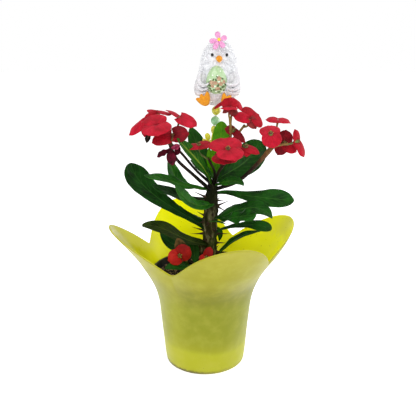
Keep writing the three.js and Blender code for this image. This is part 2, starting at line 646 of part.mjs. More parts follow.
const FLOWERS = {
  A1: bareFlower('flower_left_front', [-42, -34, 240], [-0.1, -0.6, 1], [
    bract([0.25, -1, -0.6], 15.5, 26), bract([-0.45, 1, 0.6], 15, 23, -2)]),
  A2: bareFlower('flower_left_back', [-41.7, -12, 247.5], [0, 0.2, 1], [
    bract([0.15, 1, 0.1], 12, 23, 0, 1, [0.14, -0.1, 1]),
    bract([-0.9, -0.2, -0.45], 14, 8, 0, 1, [0.3, -0.8, 0.5])]),
  A3: bareFlower('flower_left_right', [-22.8, -16, 245.2], [0.1, 0.2, 1], [
    bract([0.87, -0.35, -0.36], 18, 17, 0, 1, [0.25, -0.55, 0.8]),
    bract([-0.8, 0.4, 0.52], 14, 13, 0, 1, [0.35, -0.12, 0.93])]),
  A4: bareFlower('flower_left_far', [-50.5, -26, 242.8], [-0.3, 0.3, 1], [
    bract([-0.8, -0.1, -0.55], 20, 13, 0, 2, [-0.5, -0.6, 0.62]),
    bract([-0.15, -0.2, -1], 14, 9, 0, 1, [0.1, -1, 0.1])]),
  A5: bareFlower('flower_left_low', [-28.1, -28, 230.7], [0, 0.9, 0.4], [
    bract([-1, -0.1, -0.46], 19, 13.5, 0, 2, [0, -0.85, 0.5]),
    bract([1, 0.1, 0], 14, 15, 0, 1, [-0.1, -0.9, 0.3])], RED_DEEP),
  B1: bareFlower('flower_top', [22.2, -4, 251.8], [0, 0, 1], [
    bract([0, -1, 0.1], 9, 16, 0, 1.6, [0, -0.12, 1]),
    bract([0.15, 0.8, 0.9], 11.5, 15, 0, 1, [0, -0.75, 0.65]),
    bract([0.8, -0.3, -0.6], 11, 8, 0, 1, [0.2, -0.9, 0.3]),
    bract([-0.7, -0.3, -0.45], 7, 5, 0, 1, [-0.2, -0.9, 0.3])]),
  B4: bareFlower('flower_top_back', [25.2, 5, 259.8], [0, 0.2, 1], [
    bract([-1, -0.3, -0.55], 20, 8, 0, 1.5, [-0.35, -0.35, 0.87]),
    bract([0.68, -0.3, -0.75], 15.5, 9, 0, 1.5, [0.55, -0.5, 0.65])], RED_DEEP),
  B2: bareFlower('flower_top_right', [40.6, -5, 242.6], [0.2, -0.2, 1], [
    bract([0.75, 0.6, 0.2], 11.5, 26, 0, 1, [0.33, -0.66, 0.735]),
    bract([-1, -0.2, 0.25], 14, 12, 0, 1, [0.1, -0.75, 0.65]),
    bract([0.55, -0.2, -0.8], 11, 10, 0, 1, [0.1, -0.9, 0.2])]),
  B3: bareFlower('flower_top_low', [26.9, 1, 230.6], [0.5, -0.6, 0.9], [
    bract([-0.9, -0.1, 0.2], 8, 9, 0, 1, [0, -1, 0.2]),
    bract([0.75, -0.1, -0.72], 16.5, 7.5, 0, 1.5, [-0.4, -0.75, 0.35])], RED_DEEP),
  C1: flower('flower_front', [20, -42, 220], [0.1, -0.6, 1], [
    bract([0.4, -1, -0.5], 15, 24), bract([-0.4, 1, 0.6], 16, 30, -2)]),
  C2: flower('flower_front_right', [36.5, -24, 219], [0.1, -0.5, 1], [
    bract([1, -0.3, -0.55], 13, 11, -6), bract([0.1, -0.6, -1], 9, 10, -26)]),
  C3: flower('flower_front_left', [-5, -20, 220], [0, -0.3, 1], [
    bract([1, -0.1, -0.1], 12, 17, 6), bract([-1, -0.2, 0], 12, 15, -10)]),
  C4: flower('flower_front_under', [18, -30, 212], [0, -0.2, 1], [
    bract([-0.1, -1, -0.3], 14, 23, -10), bract([0, 1, 0.1], 10, 18)], RED_DEEP),
  D1: flower('flower_right_front', [59, -20, 230], [-0.1, -0.6, 1], [
    bract([0.1, -1, -0.6], 13.5, 18, -24), bract([-0.1, 1, 0.5], 14, 19, -6)]),
  D2: bareFlower('flower_right_top', [68, 4, 240], [0.1, -0.25, 1], [
    bract([-1, 0.1, 0], 11, 15, -7, 1.6), bract([1, -0.2, -0.1], 11.5, 15, -3, 1.8)]),
  D3: bareFlower('flower_right_far', [85.7, 0, 220.6], [1, 0.3, 0.3], [
    bract([-0.36, 0.25, 1], 11, 9.5, 0, 1.5, [0.55, -0.8, 0.1]),
    bract([0.42, -0.15, -0.9], 15.5, 12, 0, 2, [0.6, -0.7, 0.4])]),
  D4: bareFlower('flower_right_under', [75, 8, 218], [0.1, -0.8, 0.4], [
    bract([0.15, 0.2, 1], 12, 15, 0, 2, [0, -1, 0.25]),
    bract([0.75, 0, -0.6], 14, 12, 0, 1, [0.1, -1, 0.35]),
    bract([-0.45, 0, -0.85], 12.5, 13, 0, 1, [0, -1, 0.2])], RED_DEEP),
  E1: flower('flower_low_left', [-23, -36, 121], [0.1, -1, 0.4], [
    bract([-1, -0.1, -0.4], 11, 15, 4), bract([1, 0.5, 0.7], 12, 16, 20)]),
  E2: flower('flower_low_right', [2, -28, 116], [-0.4, -1, 0.7], [
    bract([0.3, 0.2, 1], 10, 10, 10), bract([-1, -0.5, -0.5], 8, 12)]),
};

// ---------------------------------------------------------------- flower stalks
// A small round knuckle where the stalks of a cluster part.
function knuckle(at, radius, grow) {
  const r = radius + grow;
  return ellipsoid(at, [r, r, r], 6, 5);
}

// A withered bract: a small drooping blade fused to its stalk.
function witheredSolid(path, width, face, grow) {
  return leafSolid({ path, width, face, shape: { fold: 20, rows: 5, peak: 0.6 } }, grow);
}

function leftStalk(grow) {
  const hub = [-31, -21, 222];
  return joined([
    knuckle(hub, 2.3, grow),
    limb([[7, -1, 173], [-11, -13, 192], [-25, -20, 207], [-29, -22, 215], hub],
      [2, 1.5, 1.4, 1.7, 1.8], 6, 2, grow),
    limb([[7, 2, 179], [-8, 0, 193], [-22, -6, 211], hub],
      [1.6, 1.2, 1.2, 1.4], 5, 1, grow),
    ...['A1', 'A2', 'A3', 'A5'].map((key) => cupSolid(FLOWERS[key], hub, grow)),
    cupSolid(FLOWERS.A4, [-41, -23, 227], grow),
    limb([hub, [-38, -24, 227], [-46, -28, 230.5], [-49, -31, 229.5], [-50.3, -32, 224.7]],
      [1, 1, 1, 1.6, 0.9], 5, 1, grow),
    witheredSolid([[-30.5, -22, 218], [-30.3, -24, 213], [-29.4, -25, 208],
      [-28.5, -25, 202.5]], 9, [0, -1, 0.2], grow),
    witheredSolid([[-30, -22, 217.5], [-34.3, -25, 215], [-38.3, -28, 213], [-42, -30, 211]],
      6, [0.2, -1, 1], grow),
    witheredSolid([[-30, -22, 216], [-27, -22, 213], [-24.3, -21, 215], [-22.5, -20, 219]],
      6, [0, -1, 0.4], grow),
    witheredSolid([[-30, -23, 218], [-27, -24, 218.5], [-24.5, -24, 219.5], [-22, -24, 221]],
      5.5, [0, -1, 0.4], grow),
    witheredSolid([[-47, -30, 232], [-48.5, -31.5, 230], [-49.6, -32.4, 227.5],
      [-50.6, -33, 224]], 5, [0, -1, 0.3], grow),
  ]);
}

function topStalk(grow) {
  const fork = [23, 3, 219];
  return joined([
    knuckle(fork, 2, grow),
    limb([[8, 4, 182], [17, 6, 202], fork, [24, 0, 231], [23, -3, 243]],
      [1.6, 1.4, 1.5, 1.4, 1.2], 5, 1, grow),
    limb([fork, [31, 1, 228], [37, 0, 236]], [1.3, 1.2, 1.1], 5, 1, grow),
    cupSolid(FLOWERS.B1, [23, -3, 242], grow),
    cupSolid(FLOWERS.B4, [24, -1, 238], grow),
    cupSolid(FLOWERS.B2, [36, 0, 234], grow),
    cupSolid(FLOWERS.B3, fork, grow),
  ]);
}

function frontStalk(grow) {
  const hub = [17, -30, 205];
  return joined([
    knuckle(hub, 2.2, grow),
    limb([[9, -3, 181], [12, -18, 194], hub], [1.7, 1.5, 1.6], 5, 1, grow),
    limb([[8, -3, 182], [9, -12, 194], [3, -18, 208]], [1.4, 1.2, 1.1], 5, 1, grow),
    limb([hub, [27, -28, 208], [35, -24, 211]], [1.2, 1, 0.9], 5, 1, grow),
    limb([hub, [20, -34, 209], [20, -38, 213]], [1.2, 1, 0.9], 5, 1, grow),
    cupSolid(FLOWERS.C1, [20, -37, 212], grow),
    cupSolid(FLOWERS.C2, [34, -24, 210.5], grow),
    cupSolid(FLOWERS.C3, [3, -18, 207], grow),
    cupSolid(FLOWERS.C4, hub, grow),
  ]);
}

function rightStalk(grow) {
  const hub = [62, -9, 217];
  return joined([
    knuckle(hub, 2.6, grow),
    limb([[10, 0, 175], [31, -6, 184], [53, -9, 206], [58, -9, 212], hub],
      [1.9, 1.7, 2, 2.4, 2.3], 7, 2, grow),
    limb([hub, [66, -4, 223], [68, 3, 231]], [1.6, 1.2, 1], 5, 1, grow),
    limb([hub, [69, -6, 218], [77, -3, 219]], [1.5, 1.1, 1], 5, 1, grow),
    cupSolid(FLOWERS.D1, hub, grow),
    cupSolid(FLOWERS.D2, [67, 2, 229], grow),
    cupSolid(FLOWERS.D3, [75, -3, 218], grow),
    cupSolid(FLOWERS.D4, [68, -5, 219], grow),
  ]);
}

// The small side shoot that rises from the soil in front of the trunk.
function lowShoot(grow) {
  return joined([
    limb([[-3, -11, 70], [-5, -14, 92], [-9, -18, 102], [-16, -26, 112]],
      [2.4, 2.2, 1.9, 1.2], 7, 2, grow),
    limb([[-6, -15, 98], [-1, -20, 104], [2, -22, 109]], [1.2, 1, 0.9], 5, 1, grow),
    cupSolid(FLOWERS.E1, [-15, -25, 110], grow),
    cupSolid(FLOWERS.E2, [1, -21, 107], grow),
    witheredSolid([[-17, -26, 113], [-20, -29, 121], [-22.5, -31, 129], [-25, -33, 137]],
      12, [0, -1, 0.3], grow),
  ]);
}

// ---------------------------------------------------------------- chick pick
const STICK_PATH = [[8, 22, 66], [8, 22, 150], [7.8, 22, 209], [8.4, 22, 229], [10.1, 22, 239],
  [10.8, 22, 249], [11.4, 22, 262]];
const CHICK_MIDDLE = [12.3, 21];
const CHICK_DEPTH = 0.78;

// Half width of the chick against height.
const CHICK_OUTLINE = [
  [0, 252], [11, 254.6], [16, 259], [19.6, 265], [20.5, 270], [19.8, 277], [18, 284],
  [16.9, 291], [15.6, 298], [13, 304], [9.6, 308], [5, 310.6], [0, 311.4],
];

// Outlines of the two padded feet, toes up, as x and height.
const LEFT_FOOT = [
  [1, 252.6], [4.2, 254.6], [4.9, 261], [3.8, 264.8], [2, 266.4], [0.6, 263.8], [-0.8, 262],
  [-2.2, 263.8], [-3.8, 264.4], [-4.9, 260.4], [-8.4, 259.2], [-6.4, 256.4], [-3, 253.6],
];
const RIGHT_FOOT = [
  [19, 252.8], [22.6, 253.8], [24, 256.4], [23.4, 258.8], [24.6, 260.6], [24.4, 262.4],
  [22.2, 262.6], [20.4, 261.6], [18, 265], [16.6, 264], [15.6, 261], [15, 257.4], [16.4, 254],
];

// Petals of the flower on its head: direction in degrees, length, width.
const HEAD_PETALS = [[103, 8, 6], [20, 7.6, 6], [190, 8.8, 5.8], [243, 9.8, 5.6], [303, 8.6, 5.6]];
const HEAD_FLOWER = [12.9, 8, 311.4];

function stickSolid(grow) {
  return limb(STICK_PATH, [STICK_RADIUS, STICK_RADIUS], 8, 1, grow);
}

// An oval bead, the ribbon's knot and its puffed loops and tails.
function bowSolid(grow) {
  const puff = (at, [a, b, c], turn) => ellipsoid(at, [a + grow, b + grow, c + grow], 7, 5,
    [0, turn, 0]);
  return joined([
    ellipsoid([8.6, 22, 228.6], [3 + grow, 3 + grow, 4.2 + grow], 8, 6),
    limb([[8.4, 21, 226], [7.6, 19, 223], [6.8, 18.4, 218]], [1.3, 1.3], 5, 1, grow),
    puff([2.8, 17, 222.6], [2.7, 1.7, 3.9], -14),
    puff([0.2, 17, 218.8], [3, 1.3, 1.5], 38),
    puff([4.4, 17.4, 217.6], [3.6, 1.7, 1.8], -10),
    puff([9.8, 18, 219], [3.4, 1.5, 1.9], 20),
    puff([7, 17.6, 214.6], [1.5, 1.1, 3.2], 12),
  ]);
}

function chickBody(grow) {
  const g = grow;
  const outline = CHICK_OUTLINE.map(([r, z], i) => {
    const end = i === 0 ? -g : g;
    return new THREE.Vector2(r === 0 ? 0 : r + g, z + (r === 0 ? end : 0));
  });
  const core = new THREE.LatheGeometry(outline, 14);
  core.rotateX(Math.PI / 2);
  core.scale(1, CHICK_DEPTH, 1);
  core.translate(CHICK_MIDDLE[0], CHICK_MIDDLE[1], 0);
  return joined([
    solidOf(core),
    ellipsoid([-4, 13, 272.5], [5.5 + g, 9 + g, 11 + g], 8, 6, [0, 18, 0]),
    ellipsoid([27.2, 13, 272.5], [5.5 + g, 9 + g, 11 + g], 8, 6, [0, -18, 0]),
    ellipsoid([12, 35, 268], [8 + g, 8 + g, 5 + g], 6, 5, [30, 0, 0]),
  ]);
}

function footSolid(edge, grow) {
  const middle = edge.reduce((sum, [x, z]) => [sum[0] + x / edge.length,
    sum[1] + z / edge.length], [0, 0]);
  const outline = new THREE.Shape(edge.map(([x, z]) => new THREE.Vector2(
    x + ((x - middle[0]) * grow) / 5,
    z + ((z - middle[1]) * grow) / 5,
  )));
  const depth = 3.6 + 2 * grow;
  const pad = new THREE.ExtrudeGeometry(outline, { depth, bevelEnabled: false });
  pad.rotateX(Math.PI / 2);
  pad.translate(0, 4.6 + depth / 2, 0);
  return solidOf(pad);
}

function headFlower(grow) {
  const g = grow;
  const petals = HEAD_PETALS.map(([angle, length, width]) => {
    const a = rad(angle);
    const at = [HEAD_FLOWER[0] + Math.cos(a) * length * 0.52,
      HEAD_FLOWER[1] + Math.sin(a) * 1.6, HEAD_FLOWER[2] + Math.sin(a) * length * 0.5];
    return ellipsoid(at, [length / 2 + g, 1.5 + g, width / 2 + g], 8, 5, [0, -angle, 0]);
  });
  return joined([ellipsoid(HEAD_FLOWER, [2.2 + g, 1.9 + g, 2.2 + g], 7, 5), ...petals]);
}

// ---------------------------------------------------------------- placing every piece
place('pot_cover', coverSolid, COVER);
place('nursery_pot', () => nurseryPot(), POT);
place('trunk', trunkSolid, BARK);
place('stalk_left', leftStalk, STALK);
place('stalk_top', topStalk, STALK);
place('stalk_front', frontStalk, STALK);
place('stalk_right', rightStalk, STALK);
place('low_shoot', lowShoot, STALK);
place('pick_stick', stickSolid, STICK);
place('bead_yellow', (g) => ellipsoid([10.8, 22, 247], [BEAD_RADIUS + g, BEAD_RADIUS + g,
  BEAD_RADIUS + g], 8, 7), YELLOW);
place('bead_green', (g) => ellipsoid([10, 22, 237.4], [BEAD_RADIUS + g, BEAD_RADIUS + g,
  BEAD_RADIUS + g], 8, 7), PEARL_GREEN);
place('ribbon_bow', bowSolid, YELLOW);
place('chick_body', chickBody, FLUFF);
place('chick_egg', (g) => ellipsoid([11, 8.5, 275.8], [9.9 + g, 7.1 + g, 13 + g], 12, 9), EGG);
place('chick_beak', (g) => ellipsoid([13.1, 6.2, 294.6], [3.1 + g, 3.5 + g, 3.3 + g], 8, 6),
  ORANGE);
place('chick_foot_left', (g) => footSolid(LEFT_FOOT, g), ORANGE);
place('chick_foot_right', (g) => footSolid(RIGHT_FOOT, g), ORANGE);
place('chick_flower', headFlower, PINK);
for (const spec of Object.values(FLOWERS)) {
  place(spec.name, (g) => flowerSolid(spec, g), spec.look);
}
for (const spec of LEAVES) place(spec.name, (g) => leafSolid(spec, g), spec.look);
place('leaves_young', youngSolid, LEAF_MID);
place('soil', soilSolid, SOIL);

export default plant;
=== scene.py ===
"""Crown of thorns plant in a nursery pot, inside a petal-edged pot cover, with a chick pick.

Tables and arrays are in millimetres, +Z up, and become metres when a mesh is made.
"""

import logging
import math
from dataclasses import dataclass, field
from enum import Enum
from functools import cache
from typing import Sequence

import bpy
import numpy as np
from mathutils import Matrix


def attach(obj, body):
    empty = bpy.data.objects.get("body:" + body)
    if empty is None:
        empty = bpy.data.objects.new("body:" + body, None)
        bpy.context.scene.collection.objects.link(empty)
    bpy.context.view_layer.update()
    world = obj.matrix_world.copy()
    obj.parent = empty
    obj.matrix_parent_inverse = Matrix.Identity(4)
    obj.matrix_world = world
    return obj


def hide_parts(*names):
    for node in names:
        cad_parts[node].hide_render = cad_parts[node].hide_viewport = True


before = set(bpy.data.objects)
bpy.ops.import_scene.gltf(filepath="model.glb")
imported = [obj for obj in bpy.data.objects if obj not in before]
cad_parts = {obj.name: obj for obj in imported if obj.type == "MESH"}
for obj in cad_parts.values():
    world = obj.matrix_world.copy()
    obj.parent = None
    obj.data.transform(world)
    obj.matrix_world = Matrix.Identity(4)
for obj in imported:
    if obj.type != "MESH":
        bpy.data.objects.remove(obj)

Array = np.ndarray
Point = tuple[float, float, float]
Colour = tuple[int, int, int]
Stops = tuple[tuple[float, Colour], ...]
Rows = tuple[tuple[float, ...], ...]
Socket = bpy.types.NodeSocket
Material = bpy.types.Material

MM = 0.001
LOG = logging.getLogger("crown_of_thorns")


# ---- vectors and curves
def unit(vectors: Array) -> Array:
    """Returns the vectors scaled to length one along the last axis."""
    rows = np.asarray(vectors, float)
    return rows / np.maximum(np.linalg.norm(rows, axis=-1, keepdims=True), 1e-12)


def ripple(points: Array, size: float, seed: int) -> Array:
    """Smooth noise: sine waves in random directions, added up.

    Args:
        points: positions in millimetres, shape (..., 3).
        size: typical wavelength in millimetres.
        seed: seed of the random directions.

    Returns:
        Noise of about -1 to 1, shape (...).
    """
    waves = 20
    rng = np.random.default_rng(seed)
    heading = unit(rng.normal(size=(waves, 3)))
    length = size * rng.uniform(0.6, 1.7, waves)
    phase = rng.uniform(0, 2 * np.pi, waves)
    total = np.sin(points @ (heading / length[:, None]).T * 2 * np.pi + phase).sum(-1)
    return total / math.sqrt(waves)


def around(count: int) -> Array:
    """Directions spaced evenly round a full turn, in radians."""
    return np.linspace(0, 2 * np.pi, count, endpoint=False)


def smooth_step(values: Array) -> Array:
    """Eases values from 0 to 1 with flat ends: 3x^2 - 2x^3 on the clipped value."""
    x = np.clip(values, 0, 1)
    return x * x * (3 - 2 * x)


def cubic_through(path: Sequence[Point], t: Array) -> tuple[Array, Array]:
    """The Bezier cubic that passes through four points at t = 0, 1/3, 2/3 and 1.

    Args:
        path: the four points.
        t: stations along it.

    Returns:
        Positions and unit tangents, each of shape (len(t), 3).
    """
    a, b, c, d = np.asarray(path, float)
    p = (-5 * a + 18 * b - 9 * c + 2 * d) / 6
    q = (2 * a - 9 * b + 18 * c - 5 * d) / 6
    t = np.asarray(t, float)[:, None]
    place = (1 - t) ** 3 * a + 3 * t * (1 - t) ** 2 * p + 3 * t * t * (1 - t) * q + t**3 * d
    slope = (1 - t) ** 2 * (p - a) + 2 * t * (1 - t) * (q - p) + t * t * (d - q)
    return place, unit(slope)


def curve_through(points: Sequence[Point], count: int, closed: bool = False) -> Array:
    """Centripetal Catmull-Rom curve through the points, `count` stations evenly in index.

    Args:
        points: the points it passes through.
        count: how many stations to return.
        closed: whether it comes back to its start.

    Returns:
        Positions, shape (count, dimensions of the points).
    """
    given = np.asarray(points, float)
    if closed:
        ring = np.vstack([given[-1:], given, given[:2]])
        u = np.linspace(0, len(given), count, endpoint=False)
    else:
        ring = np.vstack([2 * given[:1] - given[1:2], given, 2 * given[-1:] - given[-2:-1]])
        u = np.linspace(0, len(given) - 1, count)
    i = np.minimum(u.astype(int), len(ring) - 4)
    w = (u - i)[:, None]
    p0, p1, p2, p3 = ring[i], ring[i + 1], ring[i + 2], ring[i + 3]
    gap = [np.sqrt(np.linalg.norm(b - a, axis=1, keepdims=True)) + 1e-9
           for a, b in ((p0, p1), (p1, p2), (p2, p3))]
    t1 = ((p1 - p0) / gap[0] - (p2 - p0) / (gap[0] + gap[1]) + (p2 - p1) / gap[1]) * gap[1]
    t2 = ((p2 - p1) / gap[1] - (p3 - p1) / (gap[1] + gap[2]) + (p3 - p2) / gap[2]) * gap[1]
    c2 = -3 * p1 + 3 * p2 - 2 * t1 - t2
    c3 = 2 * p1 - 2 * p2 + t1 + t2
    return p1 + t1 * w + c2 * w**2 + c3 * w**3


# ---- closed surfaces
@dataclass
class Surface:
    """One closed surface: points, four-sided and three-sided faces, UV and a mark per point."""

    points: Array
    quads: Array
    tris: Array = field(default_factory=lambda: np.zeros((0, 3), int))
    uv: Array | None = None
    mark: Array | None = None

    def outward(self) -> "Surface":
        """Turns its faces round where the signed volume says that they point inwards.

        Returns:
            The surface itself.
        """
        quads, tris = self.quads, self.tris
        p = self.points[np.vstack([tris, quads[:, [0, 1, 2]], quads[:, [0, 2, 3]]])]
        if np.einsum("ij,ij->i", p[:, 0], np.cross(p[:, 1], p[:, 2])).sum() < 0:
            self.quads, self.tris = quads[:, ::-1], tris[:, ::-1]
        return self


def grid_faces(rows: int, cols: int, wrap: bool = False) -> Array:
    """Four-sided faces of a grid of points numbered row by row.

    Args:
        rows: rows of points.
        cols: points in a row.
        wrap: whether each row closes into a ring.

    Returns:
        Point numbers, shape (faces, 4).
    """
    index = np.arange(rows * cols).reshape(rows, cols)
    if wrap:
        index = np.hstack([index, index[:, :1]])
    return np.stack([index[:-1, :-1], index[1:, :-1], index[1:, 1:], index[:-1, 1:]],
                    -1).reshape(-1, 4)


def blade(top: Array, bottom: Array, uv: Array) -> Surface:
    """Thin closed blade between two equal grids, joined round their rim.

    Args:
        top: upper points, shape (rows, cols, 3).
        bottom: lower points, same shape.
        uv: pattern coordinates of the grid, shape (rows, cols, 2).

    Returns:
        The surface, with mark 0 on top and 1 underneath.
    """
    rows, cols = top.shape[:2]
    n = rows * cols
    faces = grid_faces(rows, cols)
    index = np.arange(n).reshape(rows, cols)
    rim = np.concatenate([index[0, :-1], index[:-1, -1], index[-1, :0:-1], index[:0:-1, 0]])
    ahead = np.roll(rim, -1)
    sides = np.stack([ahead, rim, rim + n, ahead + n], -1)
    return Surface(
        np.vstack([top.reshape(-1, 3), bottom.reshape(-1, 3)]),
        np.vstack([faces[:, ::-1], faces + n, sides]),
        uv=np.vstack([uv.reshape(-1, 2)] * 2),
        mark=np.repeat([0.0, 1.0], n),
    ).outward()


def tube(path: Array, radii: Array, sides: int, flat: float = 1.0) -> Surface:
    """Round limb: each ring is centre + radius (N cos a + B sin a), with B scaled by `flat`.

    Args:
        path: centre line, shape (n, 3).
        radii: one radius for each station.
        sides: points round each ring.
        flat: how thick it is across, against its width.

    Returns:
        The closed surface, whose mark runs from 0 to 1 along it.
    """
    tangent = unit(np.gradient(path, axis=0))
    choices = unit(np.array([[1, 0, 0], [0, 1, 0], [0, 0, 1], [1, 1, 0.2], [1, -1, 0.3]]))
    reference = choices[np.abs(tangent @ choices.T).max(0).argmin()]
    normal = unit(reference - (tangent @ reference)[:, None] * tangent)
    across = np.cross(tangent, normal)
    angle = around(sides)
    ring = (np.cos(angle)[None, :, None] * normal[:, None]
            + flat * np.sin(angle)[None, :, None] * across[:, None])
    rings = path[:, None] + np.asarray(radii, float)[:, None, None] * ring
    return closed_rings(rings, path[0], path[-1])


def limb(points: Sequence[Point], radii: Sequence[float], sides: int, steps: int = 8
         ) -> Surface:
    """Tube along the Catmull-Rom curve through the points.

    Args:
        points: the points of its centre line.
        radii: radii shared out evenly along it.
        sides: points round each ring.
        steps: rings for each stretch between two points.

    Returns:
        The closed surface.
    """
    count = steps * (len(points) - 1) + 1
    size = np.interp(np.linspace(0, 1, count), np.linspace(0, 1, len(radii)), radii)
    return tube(curve_through(points, count), size, sides)


def ball(center: Point, radii: Point, across: int, up: int, turn: Point = (0, 0, 0)
         ) -> Surface:
    """Ellipsoid: centre + turned (rx sin a cos b, ry sin a sin b, rz cos a).

    Args:
        center: its middle.
        radii: its three half axes.
        across: points round each ring.
        up: steps from pole to pole.
        turn: turns about x, y and z in degrees.

    Returns:
        The closed surface.
    """
    a = np.linspace(0, np.pi, up + 1)[1:-1, None]
    b = around(across)[None]
    shell = np.stack([np.sin(a) * np.cos(b), np.sin(a) * np.sin(b),
                      np.cos(a) * np.ones_like(b)], -1).reshape(-1, 3)
    shell = np.vstack([shell, [[0, 0, 1], [0, 0, -1]]]) * radii
    rx, ry, rz = np.radians(turn)
    cx, sx, cy, sy, cz, sz = (math.cos(rx), math.sin(rx), math.cos(ry), math.sin(ry),
                              math.cos(rz), math.sin(rz))
    spin = (np.array([[cz, -sz, 0], [sz, cz, 0], [0, 0, 1]])
            @ np.array([[cy, 0, sy], [0, 1, 0], [-sy, 0, cy]])
            @ np.array([[1, 0, 0], [0, cx, -sx], [0, sx, cx]]))
    return closed_rings((shell[:-2] @ spin.T + center).reshape(up - 1, across, 3),
                        shell[-2] @ spin.T + center, shell[-1] @ spin.T + center)


def closed_rings(rings: Array, first: Array, last: Array) -> Surface:
    """Closed surface over rings of points, with one more point at each end.

    Args:
        rings: shape (rows, cols, 3).
        first: end point beside the first ring.
        last: end point beside the last ring.

    Returns:
        The surface, marked 0 to 1 from first to last.
    """
    rows, cols = rings.shape[:2]
    s = np.arange(cols)
    after = (s + 1) % cols
    base = (rows - 1) * cols
    caps = np.vstack([
        np.stack([np.full(cols, rows * cols), after, s], -1),
        np.stack([np.full(cols, rows * cols + 1), base + s, base + after], -1),
    ])
    mark = np.concatenate([np.repeat(np.linspace(0, 1, rows), cols), [0, 1]])
    return Surface(np.vstack([rings.reshape(-1, 3), [first, last]]),
                   grid_faces(rows, cols, True)[:, ::-1], caps, mark=mark).outward()


def pillow(outline: Array, middle: Array, out: Array, height: float, rings: int,
           below: float) -> Surface:
    """Domed pad over a star-shaped outline: height (1 - s^4)^(1/2) above share s of it.

    Args:
        outline: the closed edge, shape (n, 3).
        middle: the point that the rings shrink to.
        out: the direction that it domes in.
        height: how far the middle stands out.
        rings: rings from the middle to the edge.
        below: share of the height that it also bulges behind.

    Returns:
        The closed surface.
    """
    share = np.linspace(0, 1, rings + 1)[1:]
    lift = height * np.sqrt(1 - share**4)
    flat = middle + (outline[None] - middle) * share[:, None, None]
    front = flat + lift[:, None, None] * out
    back = flat[-2::-1] - (below * lift[-2::-1])[:, None, None] * out
    return closed_rings(np.concatenate([front, back]), middle + height * out,
                        middle - below * height * out)


# ---- materials
def linear(colour: Colour) -> tuple[float, float, float, float]:
    """Returns a display colour of 0 to 255 as linear light with full alpha."""
    share = [c / 255 for c in colour]
    return (*(s / 12.92 if s <= 0.04045 else ((s + 0.055) / 1.055) ** 2.4 for s in share), 1.0)


